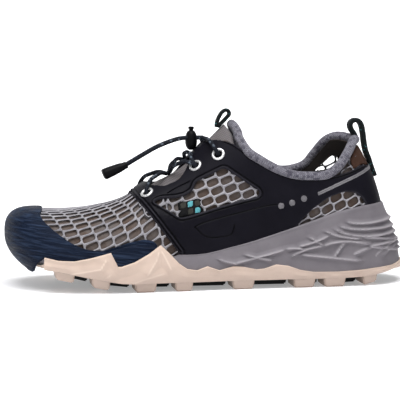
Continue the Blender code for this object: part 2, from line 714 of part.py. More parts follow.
def midsole(collection):
    """Foam: a cup round the heel and waist standing on the wave, and a flat core inside the wrap."""
    x, fore = LAST.x, forefoot()
    core = np.where(fore, slab_edge() - 2 * CORE_INSET, wrap_inner_offset() - GAP)
    bottom = tray_floor(core) + GAP
    core_top = LAST.bed_at(-CORE_INSET) - SOLE_GAP
    inside_wrap = WAVE(x) > RIM(x) + STEP
    top = np.where(fore, core_top, np.where(inside_wrap, RIM(x), np.maximum(RIM(x), WAVE(x) + GAP + STEP)))
    step = np.where(inside_wrap, top - 2 * STEP, WAVE(x) + GAP)
    step = np.where(fore, bottom + (top - bottom) * 0.4, step)
    rim_inner = LAST.upper_offset(top) + SOLE_GAP
    rim_outer = np.where(WAVE(x) > RIM(x) - STEP, core, rim_inner + RIM_THICKNESS)
    ledge = np.where(WAVE(x) > RIM(x) - STEP, core, FLARE(x))
    rings = [LAST.at(core, bottom),
             LAST.at(np.where(fore, LAST.undercut_offset(step) - CORE_INSET, core), step)]
    for share in MIDSOLE_RINGS:
        height = step + (top - step) * np.where(fore, 0.2 + 0.8 * share, share)
        side = ledge + (rim_outer - ledge) * share ** 1.5
        rings.append(LAST.at(np.where(fore, LAST.undercut_offset(height) - CORE_INSET, side), height))
    on_top = [-2 * STEP, -4 * STEP, -6 * STEP, -8 * STEP, -10 * STEP]
    for offset, rim in zip(on_top[:2], (rim_outer, rim_inner)):
        height = np.where(fore, LAST.bed_at(offset) - SOLE_GAP, top)
        rings.append(LAST.at(np.where(fore, offset, rim), height))
    for offset, angle in zip(on_top[2:], reversed(angles_in_sole())):
        wall = np.minimum(LAST.section(angle)[:, 2], top) - SOLE_GAP
        inner = LAST.upper_offset(wall + SOLE_GAP) + SOLE_GAP
        height = np.where(fore, LAST.bed_at(offset) - SOLE_GAP, wall)
        rings.append(LAST.at(np.where(fore, offset, inner), height))
    return ring_solid("midsole", rings, "grey_foam", collection)


def insole(collection):
    inset = -UPPER_WALL - 2 * SOLE_GAP
    bottom = LAST.bed_at(inset) - SOLE_GAP + GAP
    top_inset = inset + LAST.upper_offset(LAST.bed + INSOLE_THICKNESS)
    rings = [
        LAST.at(inset, bottom),
        LAST.at(top_inset, bottom + INSOLE_THICKNESS - STEP),
        LAST.at(top_inset - STEP, LAST.bed_at(top_inset - STEP) + INSOLE_THICKNESS - SOLE_GAP),
    ]
    return ring_solid("insole", rings, "insole_textile", collection)


# Upper and overlays

def rim_angle():
    """The section angle where the upper comes out of the midsole, or just above the bed in front."""
    return LAST.angle(np.maximum(RIM(LAST.x) + SOLE_GAP, LAST.bed + 0.004))


def angles_in_sole():
    return [rim_angle() * share for share in np.linspace(0, 1, RINGS_IN_SOLE, endpoint=False)]


def angles_above_sole():
    low, top = rim_angle(), LAST.angle(LAST.top)
    return [low + (top - low) * share for share in np.linspace(0, 1, RINGS_ABOVE_SOLE + 1)]


def upper(collection, pins):
    """The mesh shell: open at the collar, down the throat and underneath."""
    rings = [LAST.section(angle) for angle in angles_in_sole() + angles_above_sole()]
    shell = add_object("upper", mesh_from(sheet(rings), "upper"), "grey_mesh", collection)
    solidify(shell, UPPER_WALL, outward=False)
    boolean(shell, "DIFFERENCE", pins)
    return shell


def cage(collection, cutters, pins):
    """The black film cage: a thin layer on the upper, from the midsole's rim to the throat and collar."""
    behind = LAST.rear(CAGE_FRONT)
    rings = [LAST.section(angle)[behind] for angle in angles_above_sole()]
    skin = sheet(rings, closed=False)
    lift_along_normals(skin, GAP)
    layer = add_object("cage", mesh_from(skin, "cage"), "black_film", collection)
    solidify(layer, CAGE_THICKNESS, outward=True)
    boolean(layer, "INTERSECT", side_prism("cage_shape", CAGE_OUTLINE, cutters))
    boolean(layer, "DIFFERENCE", side_prism("side_window", SIDE_WINDOW, cutters))
    boolean(layer, "DIFFERENCE", side_prism("heel_window", HEEL_WINDOW, cutters))
    boolean(layer, "DIFFERENCE", pins)
    return layer


def rand(collection, cutters):
    """The navy rubber toe cap, which runs back along both sides inside the outsole's wrap."""
    ahead = LAST.front(RAND_BACK)
    rings = []
    for share in (1.0, 0.8, 0.6, 0.4, 0.2):
        height = LAST.bed - TOE_UNDERCUT_DROP * share
        rings.append(LAST.at(LAST.undercut_offset(height), height)[ahead])
    rings += [LAST.section(angle)[ahead] for angle in angles_in_sole() + angles_above_sole()]
    skin = sheet(rings, closed=False)
    lift_along_normals(skin, GAP)
    layer = add_object("toe_rand", mesh_from(skin, "toe_rand"), "navy_rubber", collection)
    solidify(layer, RAND_THICKNESS, outward=True)
    boolean(layer, "INTERSECT", side_prism("rand_shape", RAND_OUTLINE, cutters))
    return layer


def heel_patch(collection, cutters):
    """The brown panel round the heel between the collar and the cage."""
    behind = LAST.rear(PATCH_FRONT)
    rings = [LAST.section(angle)[behind] for angle in angles_above_sole()]
    skin = sheet(rings, closed=False)
    lift_along_normals(skin, GAP)
    layer = add_object("heel_patch", mesh_from(skin, "heel_patch"), "brown_lining", collection)
    solidify(layer, PATCH_THICKNESS, outward=True)
    boolean(layer, "INTERSECT", side_prism("patch_shape", PATCH_OUTLINE, cutters))
    return layer


# Tongue and collar

def under_ridge(x, turn, lift):
    """A point this far outside the upper's form at x, turned from the ridge in radians."""
    side = 1 if turn >= 0 else -1
    bed, ridge, power = BED(x) * INSTEP_HEIGHT, RIDGE(x) * INSTEP_HEIGHT, 2 / FULLNESS(x)
    across = half_width(x, side) * math.sin(abs(turn)) ** power
    up = bed + (ridge - bed) * math.cos(turn) ** power
    slope = (RIDGE(x + STEP) - RIDGE(x - STEP)) * INSTEP_HEIGHT / (2 * STEP)
    normal = Vector((-slope * math.cos(turn), side * math.sin(abs(turn)), math.cos(turn))).normalized()
    return Vector((x, CENTRE(x) * BALL_WIDTH + side * across, up)) + normal * lift


def tongue_lift(x, turn):
    """The tongue lies under the upper's wall, and its padding swells towards the top of the throat."""
    share = np.interp(x, *zip(*((along_to_x(along), pad) for along, pad in TONGUE_PAD)))
    pad = max(0.0, 1 - (turn / TONGUE_PAD_TURN) ** 2) ** 2
    return (UPPER_WALL + TONGUE_CLEARANCE) * (share * pad - 1)


def tongue_row(row, count):
    top_share = (along_to_x(TONGUE[0].along) - along_to_x(row.along)) / TONGUE_LENGTH
    points = []
    for share in np.linspace(1, -1, count):
        x = along_to_x(row.along) - TONGUE_BOW * top_share * share ** 2
        turn = row.turn * share
        points.append(under_ridge(x, turn, tongue_lift(x, turn)))
    return points


def tongue(collection):
    rows = [tongue_row(row, TONGUE_COLUMNS) for row in TONGUE]
    mesh = mesh_from(sheet(rows, closed=False), "tongue")
    made = add_object("tongue", mesh, "tongue_textile", collection)
    solidify(made, TONGUE_THICKNESS, outward=False)
    return made


def collar_route():
    """Middle of the collar roll: round the topline from the heel, then over the top of the tongue."""
    mouth = [i for i in range(LAST.half) if LAST.x[i] < along_to_x(COLLAR_LEAVES_UPPER)]
    around = [-i for i in mouth[:0:-1]] + mouth
    topline = LAST.section(LAST.angle(LAST.top))[around]
    tangent = np.gradient(topline, axis=0)
    tangent /= np.linalg.norm(tangent, axis=1)[:, None]
    above = np.array([0, 0, 1]) - tangent * tangent[:, 2:]
    above *= (COLLAR_RADIUS + COLLAR_GAP) / np.linalg.norm(above, axis=1)[:, None]
    wall = np.column_stack([LAST.outward[around], np.zeros(len(around))]) * UPPER_WALL / 2
    roll = topline - wall + above
    edge = np.array([tuple(point) for point in tongue_row(TONGUE[-1], TONGUE_COLUMNS)])
    inward = np.array(TONGUE_TOP_INWARD) * TONGUE_THICKNESS / 2
    over = edge + inward + np.array(TONGUE_TOP_DIRECTION) * COLLAR_BEHIND_TONGUE
    over = over[over[:, 2] > COLLAR_ON_TONGUE]
    heel = len(mouth) - 1
    return np.concatenate([roll[heel:], over, roll[:heel]])


def collar(collection):
    return tube("collar", collar_route(), COLLAR_RADIUS, "grey_knit", collection, sides=1, cyclic=True)


# Eyelets and lacing

def eyelet_place(number, side, lift):
    along, up = EYELETS[number]
    return on_upper(along_to_x(along), up * SHOE_LENGTH, side, lift)


def eyelet_turn(number):
    """How far round from the ridge an eyelet lies, in radians."""
    along, up = EYELETS[number]
    x = along_to_x(along)
    bed, ridge = BED(x) * INSTEP_HEIGHT, RIDGE(x) * INSTEP_HEIGHT
    return math.acos(((up * SHOE_LENGTH - bed) / (ridge - bed)) ** (FULLNESS(x) / 2))


def eyelets(collection):
    lift = GAP + CAGE_THICKNESS + GAP + EYELET_MINOR * EYELET_FLATNESS
    for number in range(len(EYELETS)):
        for side, word in ((1, "outer"), (-1, "inner")):
            name = f"eyelet_{word}_{number + 1}"
            bpy.ops.mesh.primitive_torus_add(major_radius=EYELET_MAJOR, minor_radius=EYELET_MINOR,
                                             major_segments=12, minor_segments=4)
            ring = bpy.context.object
            place, normal = eyelet_place(number, side, lift)
            facing = normal.to_track_quat("Z", "Y").to_matrix().to_4x4()
            flattened = Matrix.Diagonal((1, 1, EYELET_FLATNESS, 1))
            ring.matrix_world = Matrix.Translation(place) @ facing @ flattened
            ring.name = ring.data.name = name
            ring.data.materials.append(material("steel"))
            for holder in list(ring.users_collection):
                holder.objects.unlink(ring)
            collection.objects.link(ring)


def lace_lift():
    """Height of the middle of the lace over the upper where it passes an eyelet."""
    return GAP + CAGE_THICKNESS + 2 * EYELET_MINOR * EYELET_FLATNESS + LACE_RADIUS + LACE_CLEARANCE


def lace_strand(start, end, count):
    """Points of a strand laid over the tongue from one eyelet to another, each given as (number, side)."""
    lift_at_eyelet = lace_lift()
    x0, x1 = (along_to_x(EYELETS[number][0]) for number, _ in (start, end))
    turn0, turn1 = (eyelet_turn(number) * side for number, side in (start, end))
    points = []
    for share in np.linspace(0, 1, count):
        out = abs(2 * share - 1)
        lift = LACE_OVER_TONGUE + (lift_at_eyelet - LACE_OVER_TONGUE) * math.sqrt(out)
        points.append(under_ridge(x0 + (x1 - x0) * share, turn0 + (turn1 - turn0) * share, lift))
    return points


def lace(collection, cutters):
    """Two crossed strands and a bar, joined into one solid."""
    strands = [((0, 1), (1, -1)), ((0, -1), (1, 1)), ((1, 1), (1, -1))]
    made = []
    for number, (start, end) in enumerate(strands):
        route = lace_strand(start, end, LACE_POINTS)
        curve = tube(f"strand_{number}", route, LACE_RADIUS, "black_cord", cutters, sides=1)
        made.append(mesh_of(curve, "lace" if number == 0 else f"lace_part_{number}", cutters))
    whole = made[0]
    cutters.objects.unlink(whole)
    collection.objects.link(whole)
    for part in made[1:]:
        boolean(whole, "UNION", as_cutter(part))
    return whole


def lace_end(side):
    """Route of a lace end: out of the last eyelet, through the cord lock and down to the cord end."""
    lift = lace_lift()
    start, normal = eyelet_place(len(EYELETS) - 1, side, lift)
    middle = CENTRE(LOCK_X) * BALL_WIDTH
    spread = side * CORD_SPREAD
    knots = [start, start + normal * CORD_OUT + Vector(CORD_UP),
             (LOCK_X - 0.011, middle + side * 0.011, CORD_HEIGHT + 0.0012),
             (LOCK_X - 0.006, middle + spread, CORD_HEIGHT), (LOCK_X + 0.006, middle + spread, CORD_HEIGHT)]
    knots += [(along_to_x(along), middle + spread, up * SHOE_LENGTH) for along, up in CORD_ARC]
    entry = np.array(CORD_END_PLACE) - np.array(CORD_END_DIRECTION) * (CORD_END_LENGTH / 2 + 3 * GAP)
    knots.append(entry + np.array([0, spread, 0]))
    return smooth_route(knots, CORD_POINTS)


def turned(name, profile, steps, finish, collection):
    """A solid turned round Z from a profile of (radius, height), given from the top down."""
    mesh = bpy.data.meshes.new(name)
    mesh.from_pydata([(radius, 0, height) for radius, height in profile],
                     [(i, i + 1) for i in range(len(profile) - 1)], [])
    made = add_object(name, mesh, finish, collection)
    screw = made.modifiers.new("Turn", "SCREW")
    screw.steps = screw.render_steps = steps
    screw.use_merge_vertices = True
    screw.merge_threshold = 0.00001
    return made


def cord_lock(collection, cutters):
    """The barrel that pinches the lace ends, with its button on top and a channel right through."""
    lock = turned("cord_lock", LOCK_PROFILE, 14, "black_plastic", collection)
    lock.location = (LOCK_X, CENTRE(LOCK_X) * BALL_WIDTH, LOCK_HEIGHT)
    lock.scale = (1, LOCK_WIDENING, 1)
    bm = bmesh.new()
    bmesh.ops.create_cube(bm, size=1)
    channel = as_cutter(add_object("lock_channel", mesh_from(bm, "lock_channel"), None, cutters))
    channel.scale = LOCK_CHANNEL
    channel.location = (LOCK_X, CENTRE(LOCK_X) * BALL_WIDTH, CORD_HEIGHT)
    boolean(lock, "DIFFERENCE", channel)
    return lock


def cord_end(collection, cutters):
    """The two bells, side by side, that close the lace ends."""
    bells = []
    for side, where in ((1, collection), (-1, cutters)):
        name = "cord_end" if side > 0 else "cord_end_inner"
        bell = turned(name, CORD_END_PROFILE, 10, "black_plastic", where)
        place = Vector(CORD_END_PLACE) + Vector((0, CENTRE(LOCK_X) * BALL_WIDTH + side * CORD_SPREAD, 0))
        back = -Vector(CORD_END_DIRECTION)
        bell.matrix_world = Matrix.Translation(place) @ back.to_track_quat("Z", "Y").to_matrix().to_4x4()
        bells.append(bell)
    boolean(bells[0], "UNION", as_cutter(bells[1]))
    return bells[0]


# Pull loops

def strap(name, path, width, thickness, middle, finish, collection):
    """A flat webbing strap along a path of (x, z), with its width across the shoe."""
    path = smooth_route([(x, middle, z) for x, z in path], STRAP_POINTS)
    tangent = np.gradient(path, axis=0)
    normal = np.stack([-tangent[:, 2], np.zeros(len(path)), tangent[:, 0]], 1)
    normal *= thickness / 2 / np.linalg.norm(normal, axis=1)[:, None]
    across = np.array([0, width / 2, 0])
    bm = bmesh.new()
    rows = [[bm.verts.new(corner) for corner in
             (place + out + across, place + out - across, place - out - across, place - out + across)]
            for place, out in zip(path, normal)]
    for low, high in zip(rows, rows[1:]):
        for i in range(4):
            bm.faces.new((low[i], low[(i + 1) % 4], high[(i + 1) % 4], high[i]))
    bm.faces.new(rows[0])
    bm.faces.new(rows[-1])
    bmesh.ops.recalc_face_normals(bm, faces=bm.faces)
    return add_object(name, mesh_from(bm, name), finish, collection)


def heel_loop(collection):
    lift = GAP + CAGE_THICKNESS + 2 * GAP + STRAP_THICKNESS / 2
    path = []
    for height, extra in HEEL_LOOP_ON_CAGE:
        offset = LAST.upper_offset(np.full(LAST.count, height))[0]
        path.append((LAST.edge[0, 0] + LAST.outward[0, 0] * (offset + lift + extra), height))
    path += [(along_to_x(along), up * SHOE_LENGTH) for along, up in HEEL_LOOP_FREE]
    return strap("heel_loop", path, HEEL_LOOP_WIDTH, STRAP_THICKNESS, 0.0, "black_webbing", collection)


def tongue_loop(collection):
    path = [(along_to_x(along), up * SHOE_LENGTH) for along, up in TONGUE_LOOP]
    middle = CENTRE(along_to_x(TONGUE_LOOP[0][0])) * BALL_WIDTH
    return strap("tongue_loop", path, TONGUE_LOOP_WIDTH, STRAP_THICKNESS, middle,
                 "black_webbing", collection)


def main():
    for old in list(bpy.data.objects):
        bpy.data.objects.remove(old)
    shoe = bpy.data.collections.new("mesh_sneaker")
    cutters = bpy.data.collections.new("cutters")
    bpy.context.scene.collection.children.link(shoe)
    bpy.context.scene.collection.children.link(cutters)
    pins = eyelet_cutters(cutters)
    outsole(shoe, cutters)
    midsole(shoe)
    insole(shoe)
    upper(shoe, pins)
    cage(shoe, cutters, pins)
    rand(shoe, cutters)
    heel_patch(shoe, cutters)
    tongue(shoe)
    collar(shoe)
    eyelets(shoe)
    lace(shoe, cutters)
    for side, word in ((1, "outer"), (-1, "inner")):
        tube(f"lace_end_{word}", lace_end(side), LACE_RADIUS, "black_cord", shoe, sides=1)
    cord_lock(shoe, cutters)
    cord_end(shoe, cutters)
    heel_loop(shoe)
    tongue_loop(shoe)


main()
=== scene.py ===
"""Looks of the left mesh trail sneaker: net, films, rubber, foam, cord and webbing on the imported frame.

Metres, +Z up. The toe points along +X and the outer side of the foot is +Y, as in the frame.
"""

import math
from collections import namedtuple

import bmesh
import bpy
import numpy as np
from mathutils import Matrix, Vector, geometry, kdtree


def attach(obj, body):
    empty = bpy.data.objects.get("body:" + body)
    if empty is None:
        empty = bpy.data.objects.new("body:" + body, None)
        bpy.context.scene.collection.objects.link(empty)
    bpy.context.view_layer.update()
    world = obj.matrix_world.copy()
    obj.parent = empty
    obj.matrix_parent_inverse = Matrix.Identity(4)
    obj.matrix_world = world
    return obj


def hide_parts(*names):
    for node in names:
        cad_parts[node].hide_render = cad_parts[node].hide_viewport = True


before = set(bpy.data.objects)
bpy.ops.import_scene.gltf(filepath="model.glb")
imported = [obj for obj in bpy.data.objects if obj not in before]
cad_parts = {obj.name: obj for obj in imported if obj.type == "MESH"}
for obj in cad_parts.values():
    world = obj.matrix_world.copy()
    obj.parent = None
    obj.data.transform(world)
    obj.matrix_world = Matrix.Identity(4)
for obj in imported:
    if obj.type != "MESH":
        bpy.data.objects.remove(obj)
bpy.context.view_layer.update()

# Driving dimensions of the last
SHOE_LENGTH = 0.300
BALL_WIDTH = 0.096
INSTEP_HEIGHT = 0.122
HEEL_HEIGHT = 0.105

# Walls, layers and the gap between neighbours
GAP = 0.0003
SOLE_GAP = 0.0004
UPPER_WALL = 0.0020
CAGE_THICKNESS = 0.0015
RAND_THICKNESS = 0.0017
TONGUE_THICKNESS = 0.0035
INSOLE_THICKNESS = 0.0035
WRAP_THICKNESS = 0.0025
RIM_THICKNESS = 0.0026
COLLAR_RADIUS = 0.0034
LACE_RADIUS = 0.0015

# Ends of the last, as shares of SHOE_LENGTH from the heel
LAST_HEEL = 0.043
LAST_TOE = 0.9933
HEEL_ROUND = 0.113
TOE_ROUND = 0.150
TOE_ROUND_POWER = 2.2
HEEL_FAN = 0.217
HEEL_FAN_PULL = 0.25
TOE_FAN = 0.833
TOE_FAN_PULL = 0.50
VAMP_POINT = 0.682


# Plan of the last at the foot bed: along is a share of SHOE_LENGTH, the rest are shares of BALL_WIDTH
Plan = namedtuple("Plan", "along centre outer inner")
PLAN = [Plan(*row) for row in (
    (0.040, 0.000, 0.350, 0.345),
    (0.153, 0.000, 0.355, 0.350),
    (0.267, 0.000, 0.375, 0.355),
    (0.367, -0.010, 0.396, 0.328),
    (0.467, -0.021, 0.427, 0.318),
    (0.567, -0.031, 0.480, 0.344),
    (0.667, -0.052, 0.536, 0.396),
    (0.767, -0.068, 0.568, 0.424),
    (0.840, -0.083, 0.552, 0.425),
    (0.917, -0.094, 0.520, 0.417),
    (1.000, -0.099, 0.520, 0.417),
)]

# Side profile of the last: bed and ridge are shares of INSTEP_HEIGHT, fullness rounds the section
Profile = namedtuple("Profile", "along bed ridge fullness")
PROFILE = [Profile(*row) for row in (
    (0.040, 0.246, 0.955, 1.60),
    (0.153, 0.242, 0.955, 1.75),
    (0.267, 0.230, 1.105, 2.00),
    (0.367, 0.217, 1.115, 2.05),
    (0.443, 0.209, 1.000, 2.15),
    (0.500, 0.205, 0.869, 2.25),
    (0.533, 0.202, 0.787, 2.25),
    (0.567, 0.200, 0.721, 2.25),
    (0.600, 0.197, 0.672, 2.20),
    (0.633, 0.195, 0.636, 2.15),
    (0.667, 0.193, 0.589, 2.10),
    (0.693, 0.193, 0.543, 2.05),
    (0.723, 0.193, 0.511, 2.05),
    (0.753, 0.193, 0.492, 2.06),
    (0.813, 0.205, 0.468, 2.12),
    (0.873, 0.230, 0.459, 2.25),
    (0.910, 0.255, 0.466, 2.45),
    (0.945, 0.280, 0.468, 2.75),
    (1.000, 0.315, 0.468, 3.20),
)]

# Top edge of the upper, from the heel round the collar and along the throat, in shares of HEEL_HEIGHT
Topline = namedtuple("Topline", "along outer inner")
TOPLINE = [Topline(*row) for row in (
    (0.043, 0.976, 0.976),
    (0.067, 0.970, 0.984),
    (0.093, 0.942, 0.992),
    (0.133, 0.868, 0.985),
    (0.180, 0.772, 0.898),
    (0.230, 0.731, 0.770),
    (0.280, 0.735, 0.738),
    (0.320, 0.758, 0.758),
    (0.357, 0.803, 0.803),
    (0.393, 0.865, 0.865),
    (0.423, 0.927, 0.927),
    (0.443, 0.971, 0.971),
    (0.463, 1.008, 1.008),
    (0.493, 1.005, 1.005),
    (0.517, 0.948, 0.948),
    (0.550, 0.846, 0.846),
    (0.580, 0.757, 0.757),
    (0.610, 0.704, 0.704),
    (0.640, 0.702, 0.702),
    (0.667, 0.683, 0.683),
    (0.690, 0.645, 0.645),
)]

# Heights of the sole at its side: wave is the outsole's top edge, rim the midsole's, base the underside
# between the lugs and tread the plane of the lugs. Flare is how far the side stands out from the last.
Sole = namedtuple("Sole", "along wave rim base tread flare")
SOLE = [Sole(*row) for row in (
    (0.043, 0.0165, 0.0600, 0.0105, 0.0055, 0.0129),
    (0.070, 0.0140, 0.0600, 0.0090, 0.0040, 0.0105),
    (0.115, 0.0130, 0.0590, 0.0070, 0.0010, 0.0085),
    (0.153, 0.0120, 0.0570, 0.0062, 0.0000, 0.0078),
    (0.195, 0.0113, 0.0545, 0.0060, 0.0000, 0.0075),
    (0.255, 0.0116, 0.0485, 0.0060, 0.0000, 0.0072),
    (0.288, 0.0133, 0.0454, 0.0060, 0.0000, 0.0070),
    (0.318, 0.0165, 0.0425, 0.0060, 0.0000, 0.0070),
    (0.348, 0.0177, 0.0397, 0.0060, 0.0000, 0.0070),
    (0.378, 0.0149, 0.0370, 0.0060, 0.0000, 0.0070),
    (0.398, 0.0145, 0.0352, 0.0060, 0.0000, 0.0070),
    (0.431, 0.0167, 0.0326, 0.0060, 0.0000, 0.0070),
    (0.455, 0.0173, 0.0310, 0.0060, 0.0000, 0.0068),
    (0.490, 0.0145, 0.0285, 0.0060, 0.0000, 0.0066),
    (0.520, 0.0178, 0.0268, 0.0060, 0.0000, 0.0064),
    (0.546, 0.0151, 0.0262, 0.0060, 0.0000, 0.0062),
    (0.570, 0.0163, 0.0262, 0.0060, 0.0000, 0.0060),
    (0.590, 0.0204, 0.0264, 0.0060, 0.0000, 0.0056),
    (0.604, 0.0249, 0.0249, 0.0060, 0.0000, 0.0053),
    (0.613, 0.0278, 0.0236, 0.0060, 0.0000, 0.0052),
    (0.635, 0.0341, 0.0234, 0.0060, 0.0000, 0.0050),
    (0.662, 0.0281, 0.0232, 0.0060, 0.0000, 0.0049),
    (0.698, 0.0221, 0.0231, 0.0060, 0.0000, 0.0049),
    (0.730, 0.0191, 0.0231, 0.0066, 0.0008, 0.0049),
    (0.739, 0.0191, 0.0232, 0.0070, 0.0012, 0.0049),
    (0.756, 0.0293, 0.0235, 0.0078, 0.0020, 0.0049),
    (0.806, 0.0253, 0.0245, 0.0105, 0.0048, 0.0049),
    (0.842, 0.0233, 0.0262, 0.0130, 0.0075, 0.0048),
    (0.878, 0.0235, 0.0282, 0.0150, 0.0095, 0.0046),
    (0.905, 0.0252, 0.0300, 0.0162, 0.0110, 0.0044),
    (0.990, 0.0300, 0.0380, 0.0205, 0.0150, 0.0040),
)]

FOREFOOT_START = 0.630
WRAP_END = 0.910
TRAY_FLOOR = 0.0035
OUTSOLE_BEVEL = 0.0022
CORE_INSET = 0.0004
STEP = 0.0005
TOE_UNDERCUT = 0.0210
TOE_UNDERCUT_DROP = 0.0250
TOE_UNDERCUT_START = 0.850
TOE_UNDERCUT_SHARE = 0.68

# Outline of the cage and of its openings, seen from the side: along and up are shares of SHOE_LENGTH
CAGE_OUTLINE = (
    (0.694, 0.255), (0.692, 0.229), (0.658, 0.185), (0.621, 0.135), (0.590, 0.093), (0.570, 0.050),
    (0.020, 0.050), (0.020, 0.289), (0.085, 0.289), (0.113, 0.294), (0.143, 0.283), (0.180, 0.272),
    (0.230, 0.266), (0.280, 0.267), (0.320, 0.276), (0.357, 0.292), (0.393, 0.314), (0.423, 0.336),
    (0.443, 0.350), (0.462, 0.357), (0.478, 0.358), (0.493, 0.355), (0.512, 0.342), (0.530, 0.328),
    (0.549, 0.297), (0.567, 0.272), (0.580, 0.260), (0.612, 0.246), (0.640, 0.247), (0.656, 0.252),
    (0.675, 0.255),
)
SIDE_WINDOW = (
    (0.644, 0.211), (0.626, 0.219), (0.592, 0.221), (0.570, 0.226), (0.549, 0.238), (0.539, 0.259),
    (0.470, 0.293), (0.385, 0.236), (0.388, 0.224), (0.435, 0.214), (0.497, 0.198), (0.558, 0.180),
    (0.583, 0.175), (0.607, 0.190),
)
HEEL_WINDOW = (
    (0.300, 0.100), (0.292, 0.150), (0.275, 0.169), (0.249, 0.193), (0.210, 0.218), (0.170, 0.231),
    (0.143, 0.229), (0.122, 0.215), (0.112, 0.195), (0.120, 0.100),
)
RAND_OUTLINE = (
    (0.893, 0.230), (0.901, 0.194), (0.917, 0.179), (0.911, 0.167), (0.893, 0.151), (0.862, 0.128),
    (0.840, 0.115), (0.817, 0.106),
    (0.795, 0.102), (0.775, 0.101), (0.755, 0.106), (0.732, 0.113), (0.703, 0.121), (0.673, 0.126),
    (0.653, 0.123), (0.640, 0.112), (0.645, 0.060), (0.700, 0.056), (0.760, 0.056), (0.850, 0.066),
    (0.9035, 0.074), (0.9045, 0.0885), (0.928, 0.066), (0.932, 0.040), (1.050, 0.040), (1.050, 0.230),
)

PATCH_THICKNESS = 0.0009
PATCH_LOWER_EDGE = ((0.020, 0.2905), (0.085, 0.2905), (0.113, 0.2955), (0.141, 0.2855))

# Tongue: turn is how far it reaches down each side from the ridge, in radians
Tongue = namedtuple("Tongue", "along turn")
TONGUE = [Tongue(*row) for row in (
    (0.690, 0.40),
    (0.663, 0.60),
    (0.630, 0.72),
    (0.600, 0.76),
    (0.570, 0.70),
    (0.540, 0.64),
    (0.510, 0.66),
    (0.485, 0.72),
    (0.470, 0.77),
    (0.455, 0.82),
)]
TONGUE_LENGTH = (TONGUE[0].along - TONGUE[-1].along) * SHOE_LENGTH
TONGUE_COLUMNS = 13
TONGUE_BOW = 0.0015
TONGUE_CLEARANCE = 0.0027
TONGUE_PAD_TURN = 0.24
TONGUE_PAD = ((0.450, 0.85), (0.500, 0.85), (0.545, 0.50), (0.620, 0.50), (0.665, 0.0))
TONGUE_TOP_DIRECTION = (-0.97, 0.0, 0.24)
TONGUE_TOP_INWARD = (-0.80, 0.0, -0.60)
COLLAR_LEAVES_UPPER = 0.420
COLLAR_ON_TONGUE = 0.1055
COLLAR_BEHIND_TONGUE = 0.0048
COLLAR_GAP = 0.0009

# Eyelets on each side: along and up are shares of SHOE_LENGTH
EYELETS = ((0.654, 0.2285), (0.534, 0.294), (0.480, 0.323))
EYELET_MINOR = 0.0011
EYELET_HOLE = 0.0028
EYELET_FLATNESS = 0.7

# Lacing: places are along and up in shares of SHOE_LENGTH, or metres
LACE_OVER_TONGUE = -0.0008
LACE_POINTS = 9
LACE_CLEARANCE = 0.0018
LOCK_X = 0.0105
LOCK_HEIGHT = 0.1083
LOCK_WIDENING = 1.25
CORD_HEIGHT = 0.1088
CORD_SPREAD = 0.0022
CORD_ARC = ((0.580, 0.3570), (0.622, 0.3410), (0.658, 0.3203), (0.686, 0.3040))
CORD_END_PLACE = (0.0675, 0.0, 0.0854)
CORD_END_DIRECTION = (0.923, 0.0, -0.385)
CORD_END_LENGTH = 0.016

# Pull loops
STRAP_THICKNESS = 0.0018
HEEL_LOOP_WIDTH = 0.010
HEEL_LOOP_ON_CAGE = ((0.079, 0.0), (0.086, 0.0002), (0.092, 0.0010), (0.098, 0.0018))
HEEL_LOOP_FREE = ((0.0950, 0.3480), (0.0985, 0.3740), (0.1035, 0.3940), (0.1135, 0.4040), (0.1260, 0.4015),
                  (0.1315, 0.3930), (0.1290, 0.3820), (0.1240, 0.3745))
TONGUE_LOOP_WIDTH = 0.007
TONGUE_LOOP = ((0.4715, 0.3880), (0.4693, 0.4040), (0.4587, 0.4240), (0.4457, 0.4310), (0.4393, 0.4210),
               (0.4487, 0.4090), (0.4583, 0.3990))

# Lugs of the tread: along is the middle, across is measured from the centre line in half widths
Lug = namedtuple("Lug", "along length across width")
EDGE_LUG_ACROSS = 0.80
EDGE_LUG_WIDTH = 0.020
MIDDLE_LUG_WIDTH = 0.017
LUG_TAPER = 0.84
EDGE_LUGS = ((0.865, 0.048), (0.780, 0.046), (0.672, 0.056), (0.578, 0.047), (0.430, 0.058),
             (0.277, 0.058), (0.200, 0.058), (0.108, 0.042))
MIDDLE_LUGS = ((0.825, 0.036), (0.728, 0.040), (0.628, 0.040), (0.240, 0.034), (0.155, 0.034))


# Fineness of the dressed surfaces
PLAN_FINE = 800
FINE_STATIONS = 250
FINE_CLEARANCE = 0.0012
FINE_ANGLES = 240
BELOW_LEVELS = 14
GIRTH_LEVELS = 72
LEVEL_STEP = 0.00095
SMOOTH_ANGLE = math.radians(38)
MM = 0.001
SIDES = (("outer", 1), ("inner", -1))
LACE_GIRTH = 2 * math.pi * LACE_RADIUS


# Tables as smooth functions

def along_to_x(along):
    return (np.asarray(along, float) - 0.5) * SHOE_LENGTH


def side_view(outline):
    """Where (along, up) places, in shares of the shoe's length, lie in x and z."""
    return [(along_to_x(along), up * SHOE_LENGTH) for along, up in outline]


def run_along(points):
    """Length of a line from its start to each of its points."""
    return np.concatenate([[0], np.cumsum(np.linalg.norm(np.diff(points, axis=0), axis=1))])


def at_lengths(points, run, lengths):
    """Points at these lengths along a line."""
    return np.stack([np.interp(lengths, run, points[:, axis]) for axis in range(points.shape[1])], 1)


